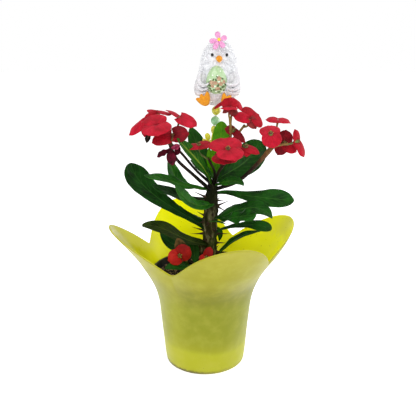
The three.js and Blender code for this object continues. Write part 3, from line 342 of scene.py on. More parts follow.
class Wiring:
    """One material and the nodes that feed its Principled shader."""

    def __init__(self, name: str) -> None:
        """Starts an empty material with its shader and output.

        Args:
            name: the material's name.
        """
        self.material = bpy.data.materials.new(name)
        self.material.use_nodes = True
        self.nodes = self.material.node_tree.nodes
        self.nodes.clear()
        self.shader = self.node("BsdfPrincipled")
        self.join(self.shader.outputs[0], self.node("OutputMaterial").inputs["Surface"])

    def node(self, kind: str) -> bpy.types.Node:
        """Adds a shader node by the rest of its type name."""
        return self.nodes.new("ShaderNode" + kind)

    def join(self, start: Socket, end: Socket) -> None:
        """Links one socket to another."""
        self.material.node_tree.links.new(start, end)

    def feed(self, socket: Socket, value: object) -> None:
        """Sets a socket, or links it.

        Args:
            socket: the socket.
            value: a number or colour, or the socket that feeds it.
        """
        if isinstance(value, Socket):
            self.join(value, socket)
        else:
            socket.default_value = value

    def set(self, values: dict[str, object]) -> None:
        """Feeds the shader's sockets by name."""
        for name, value in values.items():
            self.feed(self.shader.inputs[name], value)

    def place(self) -> Socket:
        """Object coordinates, in metres."""
        return self.node("TexCoord").outputs["Object"]

    def pattern(self) -> Socket:
        """The piece's own UV map.

        Returns:
            Its coordinates.
        """
        node = self.node("UVMap")
        node.uv_map = "UVMap"
        return node.outputs[0]

    def mark(self) -> Socket:
        """The mark that each point carries.

        Returns:
            A number from 0 to 1.
        """
        node = self.node("Attribute")
        node.attribute_name = "mark"
        return node.outputs["Fac"]

    def split(self, vector: Socket) -> list[Socket]:
        """Takes a vector apart.

        Args:
            vector: the vector.

        Returns:
            Its three numbers.
        """
        node = self.node("SeparateXYZ")
        self.join(vector, node.inputs[0])
        return list(node.outputs)

    def noise(self, size: float, detail: float, rough: float = 0.55,
              stretch: Point = (1, 1, 1), on: Socket | None = None) -> Socket:
        """Noise over the piece, or over a pattern.

        Args:
            size: size of its features, in millimetres or in the pattern's units.
            detail: how many finer layers it has.
            rough: how strong the finer layers are.
            stretch: scale along each axis, where less than 1 draws it out.
            on: the pattern, or None for object coordinates.

        Returns:
            A number of about 0.5.
        """
        node = self.node("TexNoise")
        shift = self.node("Mapping")
        shift.inputs["Scale"].default_value = stretch
        self.join(on if on is not None else self.place(), shift.inputs["Vector"])
        self.join(shift.outputs[0], node.inputs["Vector"])
        node.inputs["Scale"].default_value = (1 if on is not None else 1 / MM) / size
        node.inputs["Detail"].default_value = detail
        node.inputs["Roughness"].default_value = rough
        return node.outputs["Fac"]

    def cracks(self, size: float) -> Socket:
        """A net of cracks.

        Args:
            size: size of its cells in millimetres.

        Returns:
            Distance from the nearest crack, in cells.
        """
        node = self.node("TexVoronoi")
        node.feature = "DISTANCE_TO_EDGE"
        self.join(self.place(), node.inputs["Vector"])
        node.inputs["Scale"].default_value = 1 / MM / size
        return node.outputs["Distance"]

    def ramp(self, factor: Socket, stops: Stops) -> Socket:
        """Colour that runs through a row of stops.

        Args:
            factor: the number that chooses the colour.
            stops: places from 0 to 1, each with its colour.

        Returns:
            The colour.
        """
        node = self.node("ValToRGB")
        band = node.color_ramp
        while len(band.elements) < len(stops):
            band.elements.new(0.5)
        for element, (at, colour) in zip(band.elements, stops):
            element.position = at
            element.color = linear(colour)
        self.join(factor, node.inputs["Fac"])
        return node.outputs["Color"]

    def mix(self, factor: Socket, a: object, b: object) -> Socket:
        """Mixes two colours.

        Args:
            factor: the share of the second, from 0 to 1.
            a: the first colour.
            b: the second colour.

        Returns:
            The mixed colour.
        """
        node = self.node("Mix")
        node.data_type = "RGBA"
        self.feed(node.inputs["Factor"], factor)
        self.feed(node.inputs[6], a)
        self.feed(node.inputs[7], b)
        return node.outputs[2]

    def math(self, operation: str, a: object, b: object = 0.0) -> Socket:
        """One arithmetic step.

        Args:
            operation: Blender's name for it.
            a: the first number.
            b: the second number, where it takes one.

        Returns:
            The result.
        """
        node = self.node("Math")
        node.operation = operation
        self.feed(node.inputs[0], a)
        self.feed(node.inputs[1], b)
        return node.outputs[0]

    def span(self, value: Socket, low: float, high: float,
             to_low: float = 0.0, to_high: float = 1.0) -> Socket:
        """Maps a number from one span to another with eased, clamped ends.

        Args:
            value: the number.
            low: where the first span starts.
            high: where it ends, which may be below its start.
            to_low: result at its start.
            to_high: result at its end.

        Returns:
            The mapped number.
        """
        node = self.node("MapRange")
        node.interpolation_type = "SMOOTHSTEP"
        self.join(value, node.inputs["Value"])
        for name, number in (("From Min", low), ("From Max", high),
                             ("To Min", to_low), ("To Max", to_high)):
            node.inputs[name].default_value = number
        return node.outputs[0]

    def relief(self, height: Socket, depth: float, strength: float) -> None:
        """Bumps the shader's normal.

        Args:
            height: relief from 0 to 1.
            depth: what 1 stands for, in millimetres.
            strength: share of the bump that is used.
        """
        node = self.node("Bump")
        node.inputs["Strength"].default_value = strength
        node.inputs["Distance"].default_value = depth * MM
        self.join(height, node.inputs["Height"])
        self.join(node.outputs[0], self.shader.inputs["Normal"])


@dataclass(frozen=True)
class CoverFinish:
    """Thin translucent plastic: frosted olive outside, glossy lemon yellow inside.

    Its places are in metres: x across, y in depth and z in height.
    """

    name: str = "cover_plastic"
    height: float = 0.16
    # The plastic's olive with painted light and shade by height: the nursery pot's shadow through
    # the wall, and a lighter foot below it.
    bands: Stops = (
        (0.0, (166, 167, 18)), (0.155, (164, 165, 18)), (0.185, (146, 148, 13)),
        (0.225, (137, 140, 12)), (0.3, (131, 135, 10)), (0.45, (127, 131, 8)),
        (0.52, (118, 119, 5)), (0.585, (121, 120, 5)), (0.625, (132, 129, 7)),
        (0.7, (141, 138, 9)), (0.84, (148, 144, 18)), (0.98, (166, 160, 48)))
    frost: Colour = (186, 182, 76)
    # Painted light: the outside paler at the left, where the light falls.
    pale_side: Colour = (200, 196, 60)
    dirt: Colour = (88, 78, 36)
    # The inside's lemon yellow is the plastic's own colour, painted brighter than the outside for
    # the light that comes through the wall.
    inside: Colour = (238, 238, 10)
    inside_low: Colour = (224, 222, 8)
    # Painted shade on the inside at the left.
    inside_left: Colour = (184, 182, 4)
    milk: Colour = (230, 226, 60)
    rim: Colour = (204, 200, 84)
    spot: Colour = (120, 110, 20)
    glow: Colour = (238, 240, 12)

    def outside(self, w: Wiring, x: Socket, z: Socket) -> Socket:
        """The plastic's olive with painted light and shade in bands by height, for the nursery
        pot's shadow through the wall and a lighter foot, frosted in clouds and painted paler at
        the left where the light falls, over a dirty foot.

        Args:
            w: the material.
            x: place across.
            z: place in height.

        Returns:
            The colour of the outside.
        """
        slant = w.math("ADD", z, w.math("MULTIPLY", x, 0.05))
        level = w.math("ADD", slant, w.math("MULTIPLY", w.noise(34, 2), 0.005))
        # Painted light and shade by height: the pot's shadow through the wall and a lighter foot.
        bands = w.ramp(w.math("DIVIDE", level, self.height), self.bands)
        frosted = w.mix(w.span(w.noise(11, 5, 0.6), 0.35, 0.8, 0.0, 0.22), bands,
                        linear(self.frost))
        # Painted light: paler at the left, where the light falls.
        wall = w.mix(w.span(x, -0.012, -0.032, 0.0, 0.16), frosted, linear(self.pale_side))
        specks = w.math("MULTIPLY", w.span(w.noise(1.8, 2), 0.66, 0.74), w.span(z, 0.016, 0.0))
        ragged = w.math("ADD", z, w.math("MULTIPLY", w.noise(3, 3), 0.006))
        line = w.math("MULTIPLY", w.span(ragged, 0.008, 0.0045, 0.0, 0.9),
                      w.span(x, 0.03, -0.02, 0.25, 1.0))
        return w.mix(w.math("MAXIMUM", specks, line), wall, linear(self.dirt))

    def lining(self, w: Wiring, x: Socket, y: Socket, z: Socket) -> Socket:
        """Lemon yellow, painted brighter than the outside for the light that comes through the
        wall, duller low down, with painted shade at the left, milky in clouds and at its rim.

        Args:
            w: the material.
            x: place across.
            y: place in depth.
            z: place in height.

        Returns:
            The colour of the inside.
        """
        lemon = w.mix(w.span(z, 0.1, 0.125), linear(self.inside_low), linear(self.inside))
        # Painted shade: duller on the inside at the left.
        lemon = w.mix(w.span(x, -0.048, -0.066, 0.0, 0.8), lemon, linear(self.inside_left))
        milky = w.mix(w.span(w.noise(22, 3), 0.52, 0.75, 0.0, 0.3), lemon, linear(self.milk))
        edge = w.math("ADD", w.mark(), w.math("MULTIPLY", w.noise(5, 3), 0.04))
        rim = w.math("MULTIPLY", w.span(edge, 0.625, 0.585, 0.0, 0.72),
                     w.math("MULTIPLY", w.span(z, 0.1, 0.112), w.span(y, 0.05, 0.022)))
        rimmed = w.mix(rim, milky, linear(self.rim))
        return w.mix(w.span(w.noise(2.4, 1), 0.72, 0.76, 0.0, 0.6), rimmed, linear(self.spot))

    def build(self) -> Material:
        """The mark runs from the outside over the lip to the inside and parts the two skins.

        A weak glow on the inside stands for the light that comes through the wall.

        Returns:
            The material.
        """
        w = Wiring(self.name)
        x, y, z = w.split(w.place())
        inner = w.span(w.mark(), 0.5, 0.508)
        lit = w.math("MULTIPLY", w.span(z, 0.09, 0.12, 0.1, 0.2),
                     w.span(x, -0.07, -0.04, 0.15, 1.0))
        w.set({
            "Base Color": w.mix(inner, self.outside(w, x, z), self.lining(w, x, y, z)),
            "Roughness": w.math("SUBTRACT", 0.42, w.math("MULTIPLY", inner, 0.2)),
            "Emission Color": linear(self.glow),
            "Emission Strength": w.math("MULTIPLY", inner, lit),
            "Subsurface Weight": 0.2, "Subsurface Scale": 0.005,
            "Subsurface Radius": (1.0, 0.9, 0.2), "Sheen Weight": 0.03,
            "Sheen Roughness": 0.3,
            "Specular IOR Level": w.math("SUBTRACT", 0.26, w.math("MULTIPLY", inner, 0.16))})
        w.relief(w.noise(6, 4), 0.12, 0.4)
        return w.material


@dataclass(frozen=True)
class PlainFinish:
    """One coloured stuff with fine cloudy variation and grain."""

    name: str
    colour: Colour
    other: Colour
    roughness: float
    size: float
    depth: float
    coat: float = 0.0
    sheen: float = 0.0
    shine: float = 0.5

    def build(self) -> Material:
        """Two colours mixed by noise, with fine relief.

        Returns:
            The material.
        """
        w = Wiring(self.name)
        cloud = w.noise(self.size, 4)
        w.set({
            "Base Color": w.ramp(cloud, ((0.35, self.colour), (0.68, self.other))),
            "Roughness": w.span(cloud, 0.3, 0.7, self.roughness - 0.06, self.roughness + 0.06),
            "Coat Weight": self.coat, "Coat Roughness": 0.15, "Sheen Weight": self.sheen,
            "Sheen Roughness": 0.5, "Specular IOR Level": self.shine})
        w.relief(w.noise(self.size / 5, 3), self.depth, 0.6)
        return w.material


@dataclass(frozen=True)
class BarkFinish:
    """Grey-brown furrowed bark with green and dark patches, and a painted shadow high up under the
    leaves.
    """

    name: str = "bark"
    grey: Stops = ((0.3, (14, 14, 5)), (0.5, (58, 54, 27)), (0.7, (152, 146, 112)))
    green: Stops = ((0.3, (10, 18, 3)), (0.55, (46, 56, 14)), (0.75, (104, 104, 62)))
    shadow: Colour = (10, 13, 3)

    def build(self) -> Material:
        """Stretched noise for the furrows, broad noise for the patches, and a painted shadow high
        up under the leaves.

        Returns:
            The material.
        """
        w = Wiring(self.name)
        furrow = w.noise(4.5, 5, 0.65, (1, 1, 0.35))
        patch = w.noise(14, 3)
        bark = w.mix(w.span(patch, 0.42, 0.6), w.ramp(furrow, self.grey),
                     w.ramp(furrow, self.green))
        # Painted shadow of the leaves high up on the stem.
        shade = w.span(w.split(w.place())[2], 0.13, 0.175, 0.05, 0.85)
        w.set({"Base Color": w.mix(shade, bark, linear(self.shadow)),
               "Roughness": w.span(furrow, 0.3, 0.7, 0.7, 0.92), "Specular IOR Level": 0.1})
        w.relief(furrow, 0.7, 0.8)
        return w.material


@dataclass(frozen=True)
class TipFinish:
    """Colour that runs along a limb, from its root to its tip, over fine streaks."""

    name: str
    root: Colour
    middle: Colour
    tip: Colour

    def build(self) -> Material:
        """The point's mark along the limb sets the colour, disturbed by noise.

        Returns:
            The material.
        """
        w = Wiring(self.name)
        at = w.math("ADD", w.mark(), w.math("MULTIPLY", w.noise(3, 3), 0.5))
        w.set({"Base Color": w.ramp(w.span(at, 0.1, 1.4), (
            (0.0, self.root), (0.5, self.middle), (1.0, self.tip))),
            "Roughness": 0.6, "Specular IOR Level": 0.2})
        w.relief(w.noise(1.4, 3, 0.6, (1, 1, 0.4)), 0.2, 0.5)
        return w.material


@dataclass(frozen=True)
class StalkFinish:
    """Brown-red flower stalk that turns green towards the blooms."""

    name: str = "flower_stalk"
    low_to_high: Stops = ((0.0, (12, 8, 4)), (0.35, (44, 27, 17)), (0.65, (100, 66, 34)),
                          (1.0, (134, 104, 50)))

    def build(self) -> Material:
        """Height and streaky noise lead from dark brown through red brown to olive.

        Returns:
            The material.
        """
        w = Wiring(self.name)
        streak = w.noise(5, 4, 0.6, (1, 1, 0.4))
        across, _, height = w.split(w.place())
        slope = w.math("ADD", height, w.math("MULTIPLY", across, 0.28))
        level = w.math("ADD", slope, w.math("MULTIPLY", streak, 0.05))
        w.set({"Base Color": w.ramp(w.span(level, 0.205, 0.28), self.low_to_high),
               "Roughness": 0.6, "Specular IOR Level": 0.16})
        w.relief(streak, 0.25, 0.5)
        return w.material


@dataclass(frozen=True)
class LeafFinish:
    """Waxy leaf: mottled green, pale midrib, faint side veins and a greyer underside."""

    name: str
    deep: Colour
    fresh: Colour
    rib: Colour
    back: Colour
    gloss: float = 0.42
    rib_width: float = 0.035

    def build(self) -> Material:
        """The pattern runs along and across the blade; the mark tells top from underside.

        Returns:
            The material.
        """
        w = Wiring(self.name)
        along, across, _ = w.split(w.pattern())
        off = w.math("ABSOLUTE", w.math("SUBTRACT", across, 0.5))
        cloud = w.noise(11, 4)
        base = w.ramp(cloud, ((0.32, self.deep), (0.7, self.fresh)))
        rise = w.math("SUBTRACT", w.math("MULTIPLY", along, 9.0), w.math("MULTIPLY", off, 5.0))
        fray = w.math("ADD", rise, w.math("MULTIPLY", w.noise(7, 2), 0.7))
        vein = w.math("PINGPONG", fray, 0.5)
        side = w.math("MULTIPLY", w.span(vein, 0.09, 0.0), w.span(off, 0.5, 0.1, 0.15, 0.4))
        veined = w.mix(side, base, linear(self.rib))
        rib = w.math("MULTIPLY", w.span(off, self.rib_width, 0.008),
                     w.span(along, 1.0, 0.2, 0.3, 0.9))
        ribbed = w.mix(rib, veined, linear(self.rib))
        edged = w.mix(w.span(off, 0.47, 0.5, 0.0, 0.5), ribbed, linear(self.fresh))
        w.set({
            "Base Color": w.mix(w.mark(), edged, w.mix(
                w.math("MULTIPLY", rib, 0.8), linear(self.back), linear(self.rib))),
            "Roughness": w.span(cloud, 0.3, 0.7, self.gloss - 0.05, self.gloss + 0.08),
            "Specular IOR Level": 0.1, "Subsurface Weight": 0.1, "Subsurface Scale": 0.002,
            "Subsurface Radius": (0.4, 1.0, 0.1)})
        w.relief(w.math("ADD", w.span(vein, 0.12, 0.0), w.noise(2.5, 4)), 0.16, 0.5)
        return w.material


@dataclass(frozen=True)
class BractFinish:
    """Velvety crimson bract with fine veins that fan out from its foot."""

    name: str
    deep: Colour
    bright: Colour
    pale: Colour

    def build(self) -> Material:
        """The pattern is the angle round the foot and the distance from it.

        Returns:
            The material.
        """
        w = Wiring(self.name)
        fan = w.pattern()
        reach = w.split(fan)[1]
        streak = w.noise(0.06, 3, 0.6, (1, 0.12, 1), fan)
        cloud = w.noise(8, 4)
        blend = w.math("ADD", w.math("MULTIPLY", cloud, 0.6), w.math("MULTIPLY", streak, 0.4))
        base = w.ramp(blend, ((0.34, self.deep), (0.55, self.bright), (0.74, self.pale)))
        foot = w.mix(w.span(reach, 0.3, 0.05, 0.0, 0.8), base, linear(self.deep))
        w.set({
            "Base Color": w.mix(w.math("MULTIPLY", w.mark(), 0.7), foot, linear(self.deep)),
            "Roughness": 0.6, "Specular IOR Level": 0.14, "Sheen Weight": 0.04,
            "Sheen Roughness": 0.4, "Subsurface Weight": 0.08, "Subsurface Scale": 0.002,
            "Subsurface Radius": (1.0, 0.2, 0.1)})
        w.relief(w.math("ADD", streak, w.noise(1.2, 3)), 0.12, 0.5)
        return w.material


@dataclass(frozen=True)
class SoilFinish:
    """Dark damp compost with pale bark and grit in it."""

    name: str = "potting_soil"
    compost: Stops = ((0.3, (10, 8, 5)), (0.55, (30, 22, 14)), (0.78, (78, 60, 40)))
    grit: Colour = (160, 134, 96)

    def build(self) -> Material:
        """Coarse noise for the crumb and the peaks of a fine noise for the pale bits.

        Returns:
            The material.
        """
        w = Wiring(self.name)
        crumb = w.noise(2.2, 5, 0.7)
        w.set({"Base Color": w.mix(w.span(w.noise(1.3, 2), 0.66, 0.74),
                                   w.ramp(crumb, self.compost), linear(self.grit)),
               "Roughness": 0.95, "Specular IOR Level": 0.15})
        w.relief(crumb, 0.9, 1.0)
        return w.material


@dataclass(frozen=True)
class PearlFinish:
    """Lacquered bead with a swirl of two colours, or a net of fine cracks."""

    name: str
    colour: Colour
    other: Colour
    cracked: bool = False

    def build(self) -> Material:
        """Cells give the crackle and noise the swirl, under a clear coat.

        Returns:
            The material.
        """
        w = Wiring(self.name)
        if self.cracked:
            share = w.span(w.cracks(2.4), 0.04, 0.14)
        else:
            share = w.span(w.noise(5, 4), 0.35, 0.65)
        w.set({"Base Color": w.mix(share, linear(self.other), linear(self.colour)),
               "Roughness": 0.28, "Coat Weight": 0.6, "Coat Roughness": 0.12,
               "Sheen Weight": 0.2})
        w.relief(share, 0.12, 0.4)
        return w.material


@dataclass(frozen=True)
class FluffFinish:
    """White fluffy pile, with a darker, faintly pink painted shade low down between the feet."""

    name: str = "chick_fluff"
    light: Colour = (228, 229, 232)
    dim: Colour = (214, 215, 219)
    glow: float = 0.1
    # Painted shade low down: darker and faintly pink.
    underside: Stops = ((0.3, (200, 187, 188)), (0.65, (224, 215, 215)))
    scattered: Colour = (236, 238, 242)

    def build(self) -> Material:
        """Height paints shade on the underside; noise gives the pile its tufts.

        A weak glow stands for the light that scatters among the hairs.

        Returns:
            The material.
        """
        w = Wiring(self.name)
        tuft = w.noise(1.6, 4, 0.65)
        height = w.split(w.place())[2]
        white = w.ramp(tuft, ((0.3, self.dim), (0.6, self.light)))
        # Painted shade on the underside, low down on the body.
        low = w.ramp(tuft, self.underside)
        w.set({"Base Color": w.mix(w.span(height, 0.268, 0.258), white, low),
               "Roughness": 0.9, "Sheen Weight": 0.3, "Sheen Roughness": 0.6,
               "Emission Color": linear(self.scattered), "Emission Strength": self.glow,
               "Subsurface Weight": 0.5, "Subsurface Scale": 0.004,
               "Subsurface Radius": (1.0, 1.0, 1.0)})
        w.relief(tuft, 0.2, 0.5)
        return w.material


class Palette(Enum):
    """Every finish on the object."""

    COVER = CoverFinish()
    POT = PlainFinish("pot_plastic", (16, 17, 18), (30, 31, 33), 0.5, 12, 0.05)
    SOIL = SoilFinish()
    GRIT = PlainFinish("soil_grit", (58, 42, 28), (150, 122, 88), 0.9, 3, 0.3)
    BARK = BarkFinish()
    SPINE = TipFinish("spine", (62, 46, 30), (44, 26, 18), (34, 16, 12))
    STALK = StalkFinish()
    STEM_GREEN = PlainFinish("green_stem", (66, 70, 22), (104, 112, 42), 0.55, 4, 0.1)
    GLAND = PlainFinish("flower_gland", (84, 88, 22), (150, 138, 44), 0.4, 1.5, 0.1, 0.2)
    # Dark red throat, darkened as painted shade inside the flower's cup.
    THROAT = PlainFinish("flower_throat_shade", (60, 6, 14), (110, 16, 26), 0.6, 1.5, 0.1)
    WITHERED = PlainFinish("withered_bract", (46, 0, 12), (98, 4, 34), 0.7, 3, 0.4, shine=0.15)
    DRY_PINK = PlainFinish("dry_bract", (150, 22, 66), (190, 52, 96), 0.7, 3, 0.4)
    DRY_BROWN = PlainFinish("dry_brown", (66, 50, 26), (110, 82, 46), 0.8, 3, 0.4, shine=0.15)
    DRY_BLACK = PlainFinish("dry_tip", (10, 7, 6), (30, 20, 13), 0.8, 3, 0.4, shine=0.15)
    # A darker copy of the leaf finish: painted shade for leaves that lie in shade.
    LEAF_DEEP = LeafFinish("leaf_deep", (6, 34, 3), (17, 66, 10), (46, 92, 32), (46, 76, 38))
    LEAF_DARK = LeafFinish("leaf_dark", (10, 44, 6), (28, 88, 14), (62, 110, 40), (58, 90, 46))
    LEAF_MID = LeafFinish("leaf_mid", (15, 64, 8), (38, 104, 18), (84, 132, 46), (70, 108, 50))
    LEAF_STRIPED = LeafFinish("leaf_striped", (15, 64, 8), (38, 104, 18), (158, 184, 56),
                              (70, 108, 50), rib_width=0.085)
    LEAF_OLIVE = LeafFinish("leaf_olive", (18, 32, 6), (48, 66, 16), (88, 100, 44), (54, 76, 38))
    LEAF_BRIGHT = LeafFinish("leaf_bright", (58, 120, 0), (80, 142, 2), (112, 166, 28),
                             (86, 136, 34))
    RED = BractFinish("bract", (146, 4, 26), (184, 12, 40), (202, 40, 64))
    # Darker copies of the bract finish: painted shade for bracts that face away from the light or
    # lie in shade.
    RED_DEEP = BractFinish("bract_half_shade", (122, 0, 16), (166, 4, 28), (190, 28, 48))
    RED_SHADE = BractFinish("bract_shade", (84, 0, 10), (124, 2, 20), (156, 18, 36))
    RED_WARM = BractFinish("bract_warm", (140, 12, 10), (176, 26, 20), (198, 56, 44))
    # A darker copy of the warm bract finish: painted shade for the low bracts in shade.
    RED_WARM_DEEP = BractFinish("bract_warm_shade", (112, 4, 4), (146, 14, 12), (172, 34, 26))
    RED_UNDER = BractFinish("bract_under", (96, 22, 24), (130, 40, 38), (158, 70, 60))
    STICK = PlainFinish("pick_stick", (222, 222, 214), (240, 240, 234), 0.45, 8, 0.05)
    YELLOW_BEAD = PearlFinish("yellow_trim", (226, 222, 62), (180, 172, 28), True)
    GREEN_BEAD = PearlFinish("pearly_bead", (104, 176, 112), (166, 214, 166))
    RIBBON = PlainFinish("yellow_ribbon", (214, 204, 18), (238, 232, 60), 0.45, 2, 0.2, 0.2,
                         0.3)
    FLUFF = FluffFinish()
    # A darker copy of the fluff with a weaker glow: painted shade on the wings.
    WING = FluffFinish("chick_wing", (212, 211, 214), (192, 190, 194), 0.04)
    EGG = PlainFinish("egg", (160, 196, 142), (196, 216, 178), 0.4, 2.4, 0.15, 0.3)
    BLOSSOM = PlainFinish("egg_blossom", (156, 118, 88), (204, 172, 142), 0.6, 1.5, 0.1)
    BLOSSOM_EYE = PlainFinish("egg_blossom_eye", (96, 60, 36), (130, 86, 52), 0.6, 1, 0.1)
    EGG_LEAF = PlainFinish("egg_leaf", (60, 84, 40), (96, 120, 66), 0.6, 1.5, 0.1)
    EGG_DOT = PlainFinish("egg_dot", (240, 244, 236), (250, 250, 246), 0.5, 1, 0.05)
    FELT_ORANGE = PlainFinish("orange_felt", (212, 130, 2), (234, 160, 16), 0.8, 2.5, 0.15,
                              0.0, 0.15)
    EYE = PlainFinish("black_eye", (2, 2, 3), (6, 6, 8), 0.25, 2, 0.02, 0.2)
    FELT_PINK = PlainFinish("pink_felt", (216, 132, 184), (232, 172, 210), 0.85, 2.0, 0.15,
                            0.0, 0.15)
    FLOWER_EYE = PlainFinish("flower_eye", (236, 196, 18), (250, 220, 60), 0.5, 1, 0.1)

    @cache
    def material(self) -> Material:
        """The built material, made once and kept."""
        return self.value.build()


# ---- pieces
Part = tuple[Surface, Palette]


def make_piece(name: str, parts: Sequence[Part], replaces: Sequence[str]) -> None:
    """Puts closed surfaces into one mesh that rides on the root body.

    Args:
        name: the piece's name.
        parts: surfaces, each with its finish.
        replaces: the frame's nodes that it stands for.
    """
    finishes = list(dict.fromkeys(finish for _, finish in parts))
    points, quads, tris, uv, mark, which_quads, which_tris = [], [], [], [], [], [], []
    start = 0
    for surface, finish in parts:
        n, number = len(surface.points), finishes.index(finish)
        points.append(surface.points)
        quads.append(surface.quads + start)
        tris.append(surface.tris + start)
        uv.append(surface.uv if surface.uv is not None else np.zeros((n, 2)))
        mark.append(surface.mark if surface.mark is not None else np.zeros(n))
        which_quads.append(np.full(len(surface.quads), number))
        which_tris.append(np.full(len(surface.tris), number))
        start += n
    mesh = bpy.data.meshes.new(name)
    faces = np.vstack(quads).tolist() + np.vstack(tris).tolist()
    mesh.from_pydata((np.vstack(points) * MM).tolist(), [], faces)
    mesh.polygons.foreach_set("material_index", np.concatenate(which_quads + which_tris))
    mesh.polygons.foreach_set("use_smooth", np.ones(len(faces), bool))
    corner = np.zeros(len(mesh.loops), np.int32)
    mesh.loops.foreach_get("vertex_index", corner)
    mesh.uv_layers.new(name="UVMap").data.foreach_set("uv", np.vstack(uv)[corner].ravel())
    mesh.attributes.new("mark", "FLOAT", "POINT").data.foreach_set(
        "value", np.concatenate(mark).astype(np.float32))
    for finish in finishes:
        mesh.materials.append(finish.material())
    mesh.update()
    piece = bpy.data.objects.new(name, mesh)
    bpy.context.scene.collection.objects.link(piece)
    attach(piece, "root")
    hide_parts(*replaces)
    LOG.info("%s: %d points, %d faces", name, start, len(faces))


# ---- pot cover, pot and soil
@dataclass(frozen=True)
class Petal:
    """One petal of the cover: direction, rise, lean, edge power, skew, bulge and its start."""

    at: float
    rise: float
    lean: float
    edge: float
    skew: float
    bulge: float
    start: float = 78.0


@dataclass
class PotCover:
    """Thin plastic cover whose mouth opens into four petals."""

    wall: float = 1.2
    floor: float = 1.6
    foot_edge: float = 0.8
    lip_rise: float = 0.35
    notch: float = 110.0
    columns: int = 288
    rows: int = 70
    profile: Rows = (
        (0, 39.2), (10, 40.6), (25, 42), (40, 43.2), (52, 44.3), (63, 45.4), (74, 47.8),
        (84, 51.6), (93, 56), (101, 60.4), (110, 65.5), (119, 72), (128, 79), (137, 86),
        (146, 93), (154, 99), (162, 105))
    petals: tuple[Petal, ...] = (
        Petal(17.5, 31, 0.56, 1.08, -0.11, 10.5, 92), Petal(107.5, 37, 0.58, 1.3, 0.06, -1),
        Petal(197.5, 33, 1.04, 1.36, -0.08, 0.6), Petal(287.5, 35.3, 0.86, 1.94, -0.04, 9))

    def radius(self, z: Array) -> Array:
        """Profile radius, averaged over a few millimetres to round its corners.

        Args:
            z: heights, which may lie past either end of the profile.

        Returns:
            The radii, same shape.
        """
        heights, radii = np.array(self.profile, float).T
        slope = (radii[-1] - radii[-2]) / (heights[-1] - heights[-2])
        lowest = (radii[1] - radii[0]) / (heights[1] - heights[0])
        spread = np.linspace(-4, 4, 9)
        at = z[..., None] + spread
        value = np.interp(at, heights, radii)
        value = np.where(at > heights[-1], radii[-1] + slope * (at - heights[-1]), value)
        value = np.where(at < 0, radii[0] + lowest * at, value)
        return value.mean(-1)

    def wall_points(self, angle: Array, share: Array) -> tuple[Array, Array]:
        """Points of the outside, and the outward normals in the plane of each column.

        Edge height = notch + rise (1 - u^2)^edge, where t runs from -1 to 1 across a petal
        and u = t - skew (1 - t^2). Radius = profile below the notch, then lean times its
        growth above, plus bulge (1 - t^2) from its start height up.

        Args:
            angle: direction in degrees, shape (1, columns).
            share: part of the edge height, shape (rows, 1).

        Returns:
            Points and normals, each of shape (rows, columns, 3).
        """
        centres = np.array([p.at for p in self.petals])
        turn = (angle[0][:, None] - centres + 540) % 360 - 180
        which = np.abs(turn).argmin(1)
        half = 180 / len(self.petals)
        t = np.clip(turn[np.arange(len(which)), which] / half, -1, 1)
        pick = {name: np.array([getattr(p, name) for p in self.petals])[which]
                for name in ("rise", "lean", "edge", "skew", "bulge", "start")}
        dome = np.maximum(1 - t * t, 0)
        crest = np.maximum(1 - (t - pick["skew"] * dome) ** 2, 0)
        edge = self.notch + pick["rise"] * crest ** pick["edge"]
        z = edge * share
        limit = np.full_like(z, self.notch)
        above = self.radius(np.maximum(z, limit)) - self.radius(limit)
        r = (self.radius(np.minimum(z, limit)) + pick["lean"] * above
             + pick["bulge"] * smooth_step((z - pick["start"]) / 35) * dome)
        slope = np.gradient(r, axis=0) / np.gradient(z, axis=0)
        heading = np.radians(angle)
        out = np.stack([np.cos(heading) * np.ones_like(z), np.sin(heading) * np.ones_like(z),
                        np.zeros_like(z)], -1)
        up = np.array([0, 0, 1.0])
        points = out * r[..., None] + up * z[..., None]
        normals = unit(out - slope[..., None] * up)
        waver = 0.35 * ripple(points, 46, 5)[..., None] * smooth_step(z / 30)[..., None]
        return points + normals * waver, normals

    def build(self) -> None:
        """Outside, rounded rim, inside and floor as one closed shell."""
        seam = self.petals[0].at - 180 / len(self.petals)
        angle = (seam + 360 * np.arange(self.columns) / self.columns)[None]
        share = np.linspace(0, 1, self.rows)[:, None] ** 0.9
        outer, normal = self.wall_points(angle, share)
        inner = outer - normal * self.wall
        inner[0, :, 2] = self.floor
        inner[0, :, :2] *= 0.995
        keep = inner[:, :, 2] > self.floor - 0.01
        inner[..., 2] = np.where(keep, inner[..., 2], self.floor)
        lip = 0.5 * (outer[-1] + inner[-1]) + np.array([0, 0, self.lip_rise])
        foot = outer[:1] * [0.975, 0.975, 0]
        outer[0, :, 2] = self.foot_edge
        rings = np.concatenate([foot * [0.5, 0.5, 1], foot, outer, lip[None], inner[::-1],
                                inner[:1] * [0.5, 0.5, 1]])
        shell = closed_rings(rings, np.array([0, 0, 0.0]), np.array([0, 0, self.floor]))
        make_piece("cover", [(shell, Palette.COVER)], ["pot_cover"])


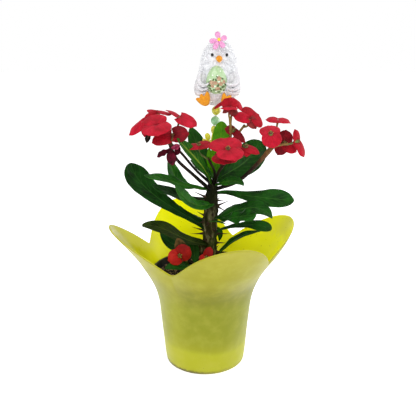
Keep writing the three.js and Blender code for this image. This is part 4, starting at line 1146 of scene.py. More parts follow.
@dataclass
class PottingSoil:
    """Compost mound in the nursery pot, with loose grit and bark on it."""

    height: float = 91.0
    mound: float = 5.0
    radius: float = 47.6
    foot: float = 31.2
    floor: float = 15.2
    pot_rim: float = 95.5
    grains: int = 420

    def surface(self, r: Array, a: Array) -> Array:
        """Height of the mound: a shallow dome with gentle lumps and a crumbly ripple.

        Args:
            r: distance from the middle.
            a: direction in radians.

        Returns:
            The height.
        """
        flat = np.stack([r * np.cos(a), r * np.sin(a), 0 * r], -1)
        lump = np.sin(a * 3 + r) * 0.7 + np.sin(a * 7 - r * 0.6) * 0.6
        crumb = 0.5 * ripple(flat, 5, 3) + 0.35 * ripple(flat, 2.5, 4)
        return (self.height + self.mound * (1 - (r / 50) ** 2) - 2 + lump * (r / 60)
                + crumb * np.clip(r / 8, 0, 1))

    def build(self) -> None:
        """The mound as a closed body, and grains scattered over it."""
        a = around(132)[None]
        r = np.linspace(self.radius, 1.2, 34)[:, None]
        top = np.stack([r * np.cos(a), r * np.sin(a), self.surface(r * np.ones_like(a), a)], -1)
        wall = np.array([[self.foot, self.floor], [44.2, self.pot_rim - 9.2],
                         [48, self.pot_rim - 7.2]])
        side = np.stack([wall[:, :1] * np.cos(a), wall[:, :1] * np.sin(a),
                         wall[:, 1:] * np.ones_like(a)], -1)
        body = closed_rings(np.concatenate([side, top]), np.array([0, 0, self.floor]),
                            np.array([0, 0, self.height + self.mound - 3]))
        rng = np.random.default_rng(21)
        parts = [(body, Palette.SOIL)]
        for _ in range(self.grains):
            reach, turn = 47 * math.sqrt(rng.uniform(0.02, 1)), rng.uniform(0, 2 * np.pi)
            at = (reach * math.cos(turn), reach * math.sin(turn),
                  float(self.surface(np.array([reach]), np.array([turn]))[0]) + 0.2)
            size = rng.uniform(0.5, 1.7) * np.array([1, rng.uniform(0.5, 1), 0.6])
            grain = ball(at, tuple(size), 6, 4, tuple(rng.uniform(0, 180, 3)))
            parts.append((grain, Palette.GRIT))
        make_piece("compost", parts, ["soil"])


# ---- leaves
@dataclass(frozen=True)
class Leaf:
    """A leaf blade along four points, with its width and the way its face looks.

    `tip` is the way the face looks at the tip, where it differs. Half width is
    sin(pi t^a)^blunt + petiole (1 - t), where a puts its widest place at `peak`.
    """

    name: str
    path: Sequence[Point]
    width: float
    face: Point
    tip: Point | None
    tone: Palette
    fold: float = 10.0
    wave: float = 0.0
    waves: float = 2.0
    peak: float = 0.62
    blunt: float = 0.75
    petiole: float = 0.09
    rows: int = 46
    cols: int = 17

    def surface(self) -> Surface:
        """The closed blade: a folded, waved sheet with a sunken midrib and puckered veins.

        Each point is the path's + side * share of the half width, lifted by the fold, the
        wave, the pucker and a ripple, and t runs from the root to the tip.

        Returns:
            The surface, with its pattern along and across the blade.
        """
        s = np.linspace(0, 1, self.rows)
        t = 0.4 * s + 0.6 * (0.5 - 0.5 * np.cos(np.pi * s))
        v = np.linspace(-1, 1, self.cols)
        v = np.sign(v) * np.abs(v) ** 0.92
        seed = sum(map(ord, self.name))
        fold = math.radians(self.fold)
        place, tangent = cubic_through(self.path, t)
        tip = self.tip if self.tip is not None else self.face
        facing = unit(self.face) * (1 - t[:, None]) + unit(tip) * t[:, None]
        normal = unit(facing - (facing * tangent).sum(1, keepdims=True) * tangent)
        side = np.cross(tangent, normal)
        power = math.log(0.5) / math.log(self.peak)
        half = self.width / 2 * (np.maximum(np.sin(np.pi * t**power), 0) ** self.blunt
                                 + self.petiole * (1 - t))
        half = np.maximum(half, np.minimum(0.8, 0.12 + 9 * (1 - t)))[:, None]
        T, V = np.meshgrid(t, v, indexing="ij")
        lift = (np.abs(V) * half * math.sin(fold)
                + self.wave * V**2 * np.sin(2 * np.pi * self.waves * T))
        pucker = np.sin(2 * np.pi * (9 * T - 1.6 * np.abs(V))) * np.abs(V) * (1 - np.abs(V))
        groove = -0.45 * np.exp(-((V / 0.1) ** 2)) * (1 - T)
        sheet = place[:, None] + side[:, None] * (V * half * math.cos(fold))[..., None]
        rough = 0.3 * ripple(sheet, 12, seed) * (0.4 + np.abs(V)) * np.minimum(half / 5, 1)
        lift = lift + 0.9 * pucker * np.minimum(half / 9, 1) + rough
        thick = 0.42 * np.sqrt(1 - 0.8 * V**2) * np.minimum(1, 0.35 + half / 3)
        rib = 0.8 * np.exp(-((V * half / 0.9) ** 2)) * (1 - 0.8 * T)
        up = sheet + normal[:, None] * (lift + thick + groove)[..., None]
        down = sheet + normal[:, None] * (lift - thick - rib)[..., None]
        return blade(up, down, np.stack([T, 0.5 + 0.5 * V], -1))

    def build(self) -> None:
        """The leaf as a piece of its own."""
        make_piece(self.name.replace("leaf", "blade"), [(self.surface(), self.tone)],
                   [self.name])


DARK, MID, BRIGHT = Palette.LEAF_DARK, Palette.LEAF_MID, Palette.LEAF_BRIGHT
# Painted shade: leaves that lie in shade take the darker leaf finish.
SHADED_GREEN = Palette.LEAF_DEEP

LEAVES = (
    Leaf("leaf_left_long", [(1, 0, 137), (-24, -2, 153), (-54, 2, 173.5), (-71, 8, 199)], 24,
         (0.4, -0.8, 1), (0.7, -1, 0.6), SHADED_GREEN, fold=8, peak=0.82, petiole=0.4,
         blunt=0.6),
    Leaf("leaf_left_mid", [(5, 2, 165), (-14, -2, 165), (-33, -10, 173.5), (-49, -16, 183)], 14,
         (0.1, -0.4, 1), (0.4, -0.6, 1), SHADED_GREEN, fold=12, peak=0.6, petiole=0.2, wave=1),
    Leaf("leaf_left_front", [(7, -4, 162), (-7, -24, 165.5), (-17.5, -38, 175.5),
                             (-25.5, -46, 189)],
         15, (0.1, -0.4, 1), (1, -0.8, 0.6), MID, fold=14, blunt=0.6, peak=0.55, petiole=0.3),
    Leaf("leaf_left_upper", [(3, -2, 175), (-17, -12, 181), (-36, -18, 188), (-55, -22, 193)],
         13, (0.1, -0.4, 1), (-0.1, -0.5, 1), MID, fold=12, peak=0.6, wave=1),
    Leaf("leaf_left_back", [(4, 5, 175), (-17, 18, 173.5), (-28.5, 27, 178.7), (-36, 34, 199)], 15,
         (1, -0.5, 1), (0.5, -1, 0.3), MID, fold=14, peak=0.7, blunt=0.6),
    Leaf("leaf_up_left", [(6, 4, 180), (-1, 14, 196), (-7, 20, 212), (-14, 24, 231)], 17,
         (0.5, -1, 0.3), (0.2, -1, 0.3), DARK, fold=10, peak=0.64, blunt=0.6),
    Leaf("leaf_up_left_front", [(6, -3, 181), (-2, -16, 199), (-13, -26, 214), (-24, -32, 228)],
         14, (0.5, -1, 0.8), (0.6, -1, 1), Palette.LEAF_STRIPED, fold=18, peak=0.62),
    Leaf("leaf_up_center", [(9, 2, 186), (12, 7, 202), (15, 11, 221), (15, 12, 238)], 16,
         (0, -1, 0.3), (0, -1, 0.4), BRIGHT, fold=8, peak=0.66, blunt=0.5),
    Leaf("leaf_up_right", [(10, 3, 181), (23, 6, 190), (39, 10, 200), (52, 14, 220)], 30,
         (-0.6, -1, 1), (-0.1, -1, 0.6), DARK, fold=6, blunt=0.42, peak=0.72),
    Leaf("leaf_right_small", [(10, -3, 180), (17, -16, 185), (27, -24, 188), (35, -30, 185)],
         11, (-0.1, -0.6, 1), (0.3, -1, 1), MID, fold=10, peak=0.55),
    Leaf("leaf_right_long", [(10, 0, 171), (33, -2, 170), (60, -4, 167), (85, -4, 165)], 18,
         (0, -0.9, 1), (0.1, -1, 0.6), DARK, fold=8, blunt=0.7, peak=0.76, petiole=0.2,
         wave=2, waves=1.5),
    Leaf("leaf_right_mid", [(9, 0, 144), (30, -8, 156), (49, -14, 160), (63, -18, 151)], 16,
         (-0.4, -0.6, 1), (0.8, -1, 0.9), DARK, fold=8, peak=0.62),
    Leaf("leaf_right_crinkled", [(9, -4, 147), (22, -20, 152), (34, -32, 157), (46, -40, 161)],
         14, (0, -0.6, 1), (0, -1, 0.9), DARK, fold=6, wave=1.8, waves=3, blunt=0.55,
         peak=0.7),
    Leaf("leaf_right_arched", [(9, -2, 132), (26, -10, 141), (45, -18, 145), (62, -24, 142)],
         11, (0.1, -0.25, 1), (0.3, -1, 0.7), DARK, fold=6, peak=0.82, petiole=0.45,
         blunt=0.6),
    Leaf("leaf_right_low", [(9, 2, 105), (24, -4, 122), (38, -8, 132), (53, -10, 136)], 9,
         (-0.5, -0.4, 1), (-0.1, -0.3, 1), DARK, fold=12, peak=0.5),
    Leaf("leaf_left_low", [(3, -3, 121), (-20, -16, 131), (-39, -24, 143), (-57, -32, 148)],
         14, (0.3, -0.5, 1), (-0.3, -0.8, 1), Palette.LEAF_OLIVE, fold=12, blunt=0.5,
         peak=0.6, petiole=0.25, wave=1),
    Leaf("leaf_left_low_back", [(1, 4, 112), (-17, 7, 112), (-33, 10, 117), (-45, 14, 128)],
         15, (0.4, -1, 1), None, SHADED_GREEN, fold=12, peak=0.5),
    Leaf("leaf_shoot_right", [(-9, -13, 104), (-10, -10, 112), (-11, -8, 119), (-11, -6, 126)],
         10, (0.2, -1, 0.3), None, DARK, fold=14, peak=0.55),
    Leaf("leaf_shoot_front", [(-10, -21, 105), (-17, -31, 109), (-26, -38, 111.5),
                              (-36, -43, 111)],
         11, (0, -0.6, 1), None, DARK, fold=10, peak=0.5, blunt=0.6),
    Leaf("leaf_back_left", [(4, 6, 143), (-12, 16, 143.5), (-28, 30, 147), (-41, 42, 153)], 13,
         (0, 0.2, 1), None, DARK, fold=12, peak=0.7, blunt=0.6),
    Leaf("leaf_back_right", [(8, 4, 142), (22, 16, 149), (36, 28, 151), (48, 38, 146)], 14,
         (0, 0.2, 1), None, DARK, fold=12, peak=0.7, blunt=0.6),
)

YOUNG = (
    Leaf("young_front", [(8, -1, 190), (6, -11, 199), (5, -16, 208), (4, -18, 218)], 7,
         (-0.3, -1, 0.3), None, BRIGHT, fold=20, peak=0.6),
    Leaf("young_left", [(8, -1, 189), (-1, -7, 193), (-7, -12, 198), (-13, -16, 206)], 10,
         (0.9, -0.6, 1), None, MID, fold=14, peak=0.6),
    Leaf("young_back", [(8, 1, 189), (4, 13, 194), (1, 22, 201), (-1, 26, 211)], 13,
         (0.1, -1, 0.3), None, MID, fold=12, peak=0.66),
)

STUBS = (
    Leaf("stub_mid", [(4, -6, 145), (10, -9, 146), (14, -12, 146), (20, -15, 145)], 4,
         (0, 0, 1), None, MID, petiole=0.3),
    Leaf("stub_behind", [(7, 3, 137), (13, 7, 132), (15, 10, 126), (14, 12, 119)], 6,
         (0.3, -1, 0.4), None, MID, peak=0.5),
)


# ---- trunk and spines
@dataclass
class Trunk:
    """Upright spiny stem with furrowed bark, a knob, and the roots of two small leaves."""

    path: tuple[Point, ...] = (
        (6, 0, 60), (7, 0, 92), (6, 0, 106), (5, 0, 118), (5, 0, 131), (5, 0, 143),
        (6, 0, 154), (6, 0, 164), (7, 0, 174), (8, 0, 184))
    radii: tuple[float, ...] = (6, 6.6, 6.9, 6.3, 6.7, 7, 6.5, 6.1, 4.9, 3.4)
    knob_at: Point = (-3, -5, 117)
    knob_size: Point = (4, 4, 6)
    knob_turn: Point = (0, -25, 0)
    spine_base: float = 1.9
    rear_spines: int = 22
    rear_length: float = 13.0
    set_spines: Rows = (
        (167, 184, 26, 16), (163, 176, 21, 13), (149, 186, 29, 9), (144, 202, -12, 9),
        (139, 170, 14, 11), (134, 178, 15, 13), (131, 184, 0, 14), (122, 198, 4, 10),
        (158.6, -6, 25, 15), (164, 14, -8, 9), (158.6, 6, -31, 13), (148, 8, -18, 11),
        (131, -4, 0, 14), (121.5, 4, -3, 11), (112, -4, 0, 17), (109, 182, 6, 9),
        (161, 262, 10, 9), (152, 282, 0, 10), (143, 254, -8, 9), (130, 276, 6, 10),
        (118, 258, 0, 9), (108, 288, 8, 9), (137, 300, -10, 9), (126, 236, 8, 9))

    def spine(self, z: float, direction: float, tilt: float, length: float) -> Surface:
        """A thorn: its radius falls from a swollen foot to a point, and it sags a little.

        Args:
            z: height of its root.
            direction: which way it points, in degrees.
            tilt: how far it rises, in degrees.
            length: how long it is.

        Returns:
            The closed surface.
        """
        a = math.radians(direction)
        heights = [p[2] for p in self.path]
        x = np.interp(z, heights, [p[0] for p in self.path])
        r = np.interp(z, heights, self.radii) - 1.4
        out = unit(np.array([math.cos(a), math.sin(a), math.tan(math.radians(tilt))]))
        t = np.linspace(0, 1, 9)[:, None]
        line = (np.array([x + r * math.cos(a), r * math.sin(a), z]) + out * length * t
                + np.array([0, 0, 0.8]) * (t**2 - t))
        size = self.spine_base * (0.52 * (1 - t[:, 0]) + 0.75 * np.exp(-t[:, 0] * 8)) + 0.05
        return tube(line, size, 8)

    def build(self) -> None:
        """Bark: limb radius plus furrows along it and swellings where leaves once grew.

        The set spines stand at the sides and the front, and the others by rule at the rear.
        """
        count = 150
        line = curve_through(self.path, count)
        size = np.interp(np.linspace(0, 1, count), np.linspace(0, 1, len(self.radii)),
                         self.radii)
        body = tube(line, size, 48)
        axis = np.stack([np.interp(body.points[:, 2], line[:, 2], line[:, 0]),
                         0 * body.points[:, 2], body.points[:, 2]], -1)
        out = unit((body.points - axis) * [1, 1, 0])
        stretched = body.points * [1, 1, 0.3]
        bark = (0.45 * ripple(stretched, 3.2, 8) + 0.3 * ripple(body.points, 5, 9)
                + 0.35 * np.abs(ripple(body.points * [0.6, 0.6, 1], 7, 10)))
        body.points = body.points + out * (bark - 0.15)[:, None]
        knob = ball(self.knob_at, self.knob_size, 20, 14, self.knob_turn)
        parts = [(body, Palette.BARK), (knob, Palette.BARK)]
        parts += [(stub.surface(), stub.tone) for stub in STUBS]
        rear = [(106 + 3 * k, 38 + (k * 61) % 104, (k * 37) % 40 - 18,
                 self.rear_length - k % 3) for k in range(self.rear_spines)]
        parts += [(self.spine(*row), Palette.SPINE) for row in (*self.set_spines, *rear)]
        make_piece("stem", parts, ["trunk"])


# ---- flowers
@dataclass(frozen=True)
class Bract:
    """One kidney-shaped bract: the way it points, its size, cup angle, bow, facing and tone.

    Without a facing of its own it lies square to the flower's axis.
    """

    to: Point
    length: float
    width: float
    cup: float = 0.0
    bow: float = 1.0
    face: Point | None = None
    tone: Palette = Palette.RED

    def surface(self, at: Array, axis: Array, seed: int) -> Surface:
        """Closed blade: t runs from the foot to the tip and v across it.

        Reach = length (t - 0.1 v^2 (1 - t)), half width = width/2 sqrt(1 - ((t-.42)/.58)^2),
        height = 4 bow t (1 - t) - 0.8 bow v^2 w^2, with a small point at the tip and a
        rippled rim.

        Args:
            at: the flower's centre.
            axis: the flower's unit axis.
            seed: seed of the ripple.

        Returns:
            The surface.
        """
        axis = axis if self.face is None else unit(self.face)
        out = np.asarray(self.to, float)
        out = unit(out - (out @ axis) * axis)
        cup = math.radians(self.cup)
        along = out * math.cos(cup) + axis * math.sin(cup)
        normal = axis * math.cos(cup) - out * math.sin(cup)
        side = np.cross(along, normal)
        bend = np.linspace(math.asin(-0.4 / 0.58), math.pi / 2, 26)
        T, V = np.meshgrid(0.42 + 0.58 * np.sin(bend), np.linspace(-1, 1, 25), indexing="ij")
        shape = np.maximum(np.cos(bend), 0.012)[:, None]
        across = V * self.width / 2 * shape
        point = 0.7 * np.exp(-((across / 0.9) ** 2)) * smooth_step((T - 0.9) / 0.1)
        reach = self.length * (T - 0.1 * V**2 * (1 - T)) + point
        lift = self.bow * (4 * T * (1 - T) - 0.8 * V**2 * shape**2)
        sheet = (at + along * reach[..., None] + side * across[..., None]
                 + normal * lift[..., None])
        rim = np.maximum(np.abs(V), smooth_step((T - 0.5) / 0.5))
        wavy = 0.45 * ripple(sheet, 13, seed) * rim**2 + 0.12 * ripple(sheet, 4, seed + 1) * rim
        crease = -0.35 * np.exp(-((across / 0.8) ** 2)) * (1 - T)
        thick = 0.28 * np.sqrt(np.clip(1 - 0.8 * np.maximum(V**2, (T - 0.2)**4), 0.1, 1))
        up = sheet + normal * (wavy + crease + thick)[..., None]
        down = sheet + normal * (wavy + crease - thick)[..., None]
        fan = np.stack([0.5 + np.arctan2(across, reach + 2) / math.pi,
                        np.hypot(across, reach) / self.length], -1)
        return blade(up, down, fan)


@dataclass(frozen=True)
class Flower:
    """Bracts round a small cup that faces along the axis; a bare one shows no cup."""

    name: str
    at: Point
    axis: Point
    bracts: tuple[Bract, ...]
    bare: bool = False

    def build(self) -> None:
        """All bracts as one piece."""
        axis, at = unit(self.axis), np.asarray(self.at, float)
        seed = sum(map(ord, self.name))
        parts = [(one.surface(at, axis, seed + 7 * k), one.tone)
                 for k, one in enumerate(self.bracts)]
        make_piece(self.name.replace("flower", "bloom"), parts, [self.name])

    def cup(self, start: Point) -> list[Part]:
        """The cup that carries the stamens: a flaring tube, a dark red throat darkened as painted
        shade, and five glands.

        Args:
            start: where its own small stalk leaves the cluster.

        Returns:
            Its parts, or the plain end of a stalk under a bloom that hides its middle.
        """
        axis, at = unit(self.axis), np.asarray(self.at, float)
        if self.bare:
            steps = [at + axis * d for d in (-7.5, -4, -1.9, -0.5)]
            end = limb([start, *map(tuple, steps)], [1, 0.9, 1, 1.3, 1.8], 12, 5)
            return [(end, Palette.STALK)]
        steps = [at + axis * d for d in (-7.5, -4, -1.9, -0.3, 1.3)]
        flare = limb([start, *map(tuple, steps)], [1, 0.9, 1.1, 1.9, 2.2, 1.6], 12, 5)
        # The throat's dark red is partly painted shade inside the cup.
        throat = ball(tuple(at + axis * 1.1), (1.6, 1.6, 1.4), 14, 10)
        parts = [(flare, Palette.STEM_GREEN), (throat, Palette.THROAT)]
        glands = 5
        rng = np.random.default_rng(sum(map(ord, self.name)))
        first = unit(np.cross(axis, [0.3, 0.5, 0.8]))
        second = np.cross(axis, first)
        for k in range(glands):
            a = 2 * math.pi * k / glands
            ray = first * math.cos(a) + second * math.sin(a)
            size = rng.uniform(0.4, 0.85)
            gland = at + ray * rng.uniform(1.5, 2.1) + axis * 1.4
            root, tip = at + ray * 0.5 + axis * 1.6, at + ray * 0.9 + axis * 3.0
            parts += [(surface, Palette.GLAND) for surface in (
                ball(tuple(gland), (size, size, 0.7 * size), 8, 6),
                tube(np.linspace(root, tip, 4), np.full(4, 0.2), 6),
                ball(tuple(tip), (0.4, 0.4, 0.4), 6, 5))]
        return parts


def flower(name: str, at: Point, axis: Point, *bracts: Bract, bare: bool = False) -> Flower:
    """A flower from its bracts."""
    return Flower(name, at, axis, bracts, bare)


# Painted shade: the darker bract finishes, for bracts that lie in shade.
HALF_SHADE, SHADE, UNDER = Palette.RED_DEEP, Palette.RED_SHADE, Palette.RED_UNDER
# Warm bracts, and a darker copy of them as painted shade.
WARM, WARM_SHADE = Palette.RED_WARM, Palette.RED_WARM_DEEP

FLOWERS = {
    "A1": flower("flower_left_front", (-42, -34, 240), (-0.1, -0.6, 1),
                 Bract((0.25, -1, -0.6), 15.5, 26), Bract((-0.45, 1, 0.6), 15, 23, -2),
                 bare=True),
    "A2": flower("flower_left_back", (-41.7, -12, 247.5), (0, 0.2, 1),
                 Bract((0.15, 1, 0.1), 12, 23, face=(0.14, -0.1, 1)),
                 Bract((-0.9, -0.2, -0.45), 14, 8, face=(0.3, -0.8, 0.5), tone=HALF_SHADE), bare=True),
    "A3": flower("flower_left_right", (-22.8, -16, 245.2), (0.1, 0.2, 1),
                 Bract((0.87, -0.35, -0.36), 18, 17, face=(0.25, -0.55, 0.8)),
                 Bract((-0.8, 0.4, 0.52), 14, 13, face=(0.35, -0.12, 0.93)), bare=True),
    "A4": flower("flower_left_far", (-50.5, -26, 242.8), (-0.3, 0.3, 1),
                 Bract((-0.8, -0.1, -0.55), 20, 13, 0, 2, (-0.5, -0.6, 0.62)),
                 Bract((-0.15, -0.2, -1), 14, 9, face=(0.1, -1, 0.1), tone=HALF_SHADE), bare=True),
    "A5": flower("flower_left_low", (-28.1, -28, 230.7), (0, 0.9, 0.4),
                 Bract((-1, -0.1, -0.46), 19, 13.5, 0, 2, (0, -0.85, 0.5), HALF_SHADE),
                 Bract((1, 0.1, 0), 14, 15, face=(-0.1, -0.9, 0.3), tone=SHADE), bare=True),
    "B1": flower("flower_top", (22.2, -4, 251.8), (0, 0, 1),
                 Bract((0, -1, 0.1), 9, 16, 0, 1.6, (0, -0.12, 1)),
                 Bract((0.15, 0.8, 0.9), 11.5, 15, face=(0, -0.75, 0.65), tone=HALF_SHADE),
                 Bract((0.8, -0.3, -0.6), 11, 8, face=(0.2, -0.9, 0.3), tone=UNDER),
                 Bract((-0.7, -0.3, -0.45), 7, 5, face=(-0.2, -0.9, 0.3), tone=UNDER), bare=True),
    "B4": flower("flower_top_back", (25.2, 5, 259.8), (0, 0.2, 1),
                 Bract((-1, -0.3, -0.55), 20, 8, 0, 1.5, (-0.35, -0.35, 0.87), HALF_SHADE),
                 Bract((0.68, -0.3, -0.75), 15.5, 9, 0, 1.5, (0.55, -0.5, 0.65)), bare=True),
    "B2": flower("flower_top_right", (40.6, -5, 242.6), (0.2, -0.2, 1),
                 Bract((0.75, 0.6, 0.2), 11.5, 26, face=(0.33, -0.66, 0.735), tone=HALF_SHADE),
                 Bract((-1, -0.2, 0.25), 14, 12, face=(0.1, -0.75, 0.65)),
                 Bract((0.55, -0.2, -0.8), 11, 10, face=(0.1, -0.9, 0.2), tone=UNDER), bare=True),
    "B3": flower("flower_top_low", (26.9, 1, 230.6), (0.5, -0.6, 0.9),
                 Bract((-0.9, -0.1, 0.2), 8, 9, face=(0, -1, 0.2), tone=SHADE),
                 Bract((0.75, -0.1, -0.72), 16.5, 7.5, 0, 1.5, (-0.4, -0.75, 0.35), SHADE)),
    "C1": flower("flower_front", (20, -42, 220), (0.1, -0.6, 1),
                 Bract((0.4, -1, -0.5), 15, 24), Bract((-0.4, 1, 0.6), 16, 30, -2)),
    "C2": flower("flower_front_right", (36.5, -24, 219), (0.1, -0.5, 1),
                 Bract((1, -0.3, -0.55), 13, 11, -6, tone=HALF_SHADE),
                 Bract((0.1, -0.6, -1), 9, 10, -26, tone=HALF_SHADE)),
    "C3": flower("flower_front_left", (-5, -20, 220), (0, -0.3, 1),
                 Bract((1, -0.1, -0.1), 12, 17, 6, tone=HALF_SHADE), Bract((-1, -0.2, 0), 12, 15, -10)),
    "C4": flower("flower_front_under", (18, -30, 212), (0, -0.2, 1),
                 Bract((-0.1, -1, -0.3), 14, 23, -10, tone=HALF_SHADE),
                 Bract((0, 1, 0.1), 10, 18, tone=SHADE)),
    "D1": flower("flower_right_front", (59, -20, 230), (-0.1, -0.6, 1),
                 Bract((0.1, -1, -0.6), 13.5, 18, -24), Bract((-0.1, 1, 0.5), 14, 19, -6)),
    "D2": flower("flower_right_top", (68, 4, 240), (0.1, -0.25, 1),
                 Bract((-1, 0.1, 0), 11, 15, -7, 1.6), Bract((1, -0.2, -0.1), 11.5, 15, -3, 1.8),
                 bare=True),
    "D3": flower("flower_right_far", (85.7, 0, 220.6), (1, 0.3, 0.3),
                 Bract((-0.36, 0.25, 1), 11, 9.5, 0, 1.5, (0.55, -0.8, 0.1), HALF_SHADE),
                 Bract((0.42, -0.15, -0.9), 15.5, 12, 0, 2, (0.6, -0.7, 0.4), HALF_SHADE)),
    "D4": flower("flower_right_under", (75, 8, 218), (0.1, -0.8, 0.4),
                 Bract((0.15, 0.2, 1), 12, 15, 0, 2, (0, -1, 0.25), SHADE),
                 Bract((0.75, 0, -0.6), 14, 12, face=(0.1, -1, 0.35), tone=HALF_SHADE),
                 Bract((-0.45, 0, -0.85), 12.5, 13, face=(0, -1, 0.2), tone=SHADE)),
    "E1": flower("flower_low_left", (-23, -36, 121), (0.1, -1, 0.4),
                 Bract((-1, -0.1, -0.4), 11, 15, 4, tone=WARM),
                 Bract((1, 0.5, 0.7), 12, 16, 20, tone=WARM_SHADE)),
    "E2": flower("flower_low_right", (2, -28, 116), (-0.4, -1, 0.7),
                 Bract((0.3, 0.2, 1), 10, 10, 10, tone=WARM_SHADE),
                 Bract((-1, -0.5, -0.5), 8, 12, tone=WARM)),
}


# ---- flower stalks
@dataclass(frozen=True)
class Stalk:
    """A branching stalk: its limbs, knuckles, flower cups and withered bits."""

    name: str
    limbs: tuple[tuple[tuple[Point, ...], tuple[float, ...]], ...]
    knuckles: tuple[tuple[Point, float], ...]
    cups: tuple[tuple[str, Point], ...]
    withered: tuple[tuple[tuple[Point, ...], float, Point, Palette], ...] = ()

    def build(self) -> None:
        """Limbs and knuckles, the cups of its flowers, and dry blades in their own tones."""
        parts = [(limb(points, radii, 12), Palette.STALK) for points, radii in self.limbs]
        parts += [(ball(at, (r, r, r), 14, 10), Palette.STALK) for at, r in self.knuckles]
        for key, start in self.cups:
            parts += FLOWERS[key].cup(start)
        for k, (path, width, face, tone) in enumerate(self.withered):
            dry = Leaf(self.name + str(k), path, width, face, None, tone, fold=20, peak=0.6,
                       wave=0.6, waves=3)
            parts.append((dry.surface(), tone))
        make_piece(self.name.replace("stalk", "branch").replace("low", "side"), parts,
                   [self.name])


LEFT_HUB, TOP_FORK, FRONT_HUB, RIGHT_HUB = (-31, -21, 222), (23, 3, 219), (17, -30, 205), (
    62, -9, 217)

STALKS = (
    Stalk("stalk_left", (
        (((7, -1, 173), (-11, -13, 192), (-25, -20, 207), (-29, -22, 215), LEFT_HUB),
         (2, 1.5, 1.4, 1.7, 1.8)),
        (((7, 2, 179), (-8, 0, 193), (-22, -6, 211), LEFT_HUB), (1.6, 1.2, 1.2, 1.4)),
        ((LEFT_HUB, (-38, -24, 227), (-46, -28, 230.5), (-49, -31, 229.5),
          (-50.3, -32, 224.7)), (1, 1, 1, 1.6, 0.9))),
        ((LEFT_HUB, 2.3),),
        (("A1", LEFT_HUB), ("A2", LEFT_HUB), ("A3", LEFT_HUB), ("A5", LEFT_HUB),
         ("A4", (-41, -23, 227))),
        ((((-30.5, -22, 218), (-30.3, -24, 213), (-29.4, -25, 208), (-28.5, -25, 202.5)), 9,
          (0, -1, 0.2), Palette.WITHERED),
         (((-30, -22, 217.5), (-34.3, -25, 215), (-38.3, -28, 213), (-42, -30, 211)), 6,
          (0.2, -1, 1), Palette.WITHERED),
         (((-30, -22, 216), (-27, -22, 213), (-24.3, -21, 215), (-22.5, -20, 219)), 6,
          (0, -1, 0.4), Palette.WITHERED),
         (((-30, -23, 218), (-27, -24, 218.5), (-24.5, -24, 219.5), (-22, -24, 221)), 5.5,
          (0, -1, 0.4), Palette.DRY_PINK),
         (((-47, -30, 232), (-48.5, -31.5, 230), (-49.6, -32.4, 227.5), (-50.6, -33, 224)), 5,
          (0, -1, 0.3), Palette.DRY_BLACK))),
    Stalk("stalk_top", (
        (((8, 4, 182), (17, 6, 202), TOP_FORK, (24, 0, 231), (23, -3, 243)),
         (1.6, 1.4, 1.5, 1.4, 1.2)),
        ((TOP_FORK, (31, 1, 228), (37, 0, 236)), (1.3, 1.2, 1.1))),
        ((TOP_FORK, 2),),
        (("B1", (23, -3, 242)), ("B4", (24, -1, 238)), ("B2", (36, 0, 234)),
         ("B3", TOP_FORK))),
    Stalk("stalk_front", (
        (((9, -3, 181), (12, -18, 194), FRONT_HUB), (1.7, 1.5, 1.6)),
        (((8, -3, 182), (9, -12, 194), (3, -18, 208)), (1.4, 1.2, 1.1)),
        ((FRONT_HUB, (27, -28, 208), (35, -24, 211)), (1.2, 1, 0.9)),
        ((FRONT_HUB, (20, -34, 209), (20, -38, 213)), (1.2, 1, 0.9))),
        ((FRONT_HUB, 2.2),),
        (("C1", (20, -37, 212)), ("C2", (34, -24, 210.5)), ("C3", (3, -18, 207)),
         ("C4", FRONT_HUB))),
    Stalk("stalk_right", (
        (((10, 0, 175), (31, -6, 184), (53, -9, 206), (58, -9, 212), RIGHT_HUB),
         (1.9, 1.7, 2, 2.4, 2.3)),
        ((RIGHT_HUB, (66, -4, 223), (68, 3, 231)), (1.6, 1.2, 1)),
        ((RIGHT_HUB, (69, -6, 218), (77, -3, 219)), (1.5, 1.1, 1))),
        ((RIGHT_HUB, 2.6),),
        (("D1", RIGHT_HUB), ("D2", (67, 2, 229)), ("D3", (75, -3, 218)),
         ("D4", (68, -5, 219)))),
    Stalk("low_shoot", (
        (((-3, -11, 70), (-5, -14, 92), (-9, -18, 102), (-16, -26, 112)),
         (2.4, 2.2, 1.9, 1.2)),
        (((-6, -15, 98), (-1, -20, 104), (2, -22, 109)), (1.2, 1, 0.9))),
        (),
        (("E1", (-15, -25, 110)), ("E2", (1, -21, 107))),
        ((((-17, -26, 113), (-20, -29, 121), (-22.5, -31, 129), (-25, -33, 137)), 12,
          (0, -1, 0.3), Palette.DRY_BROWN),)),
)


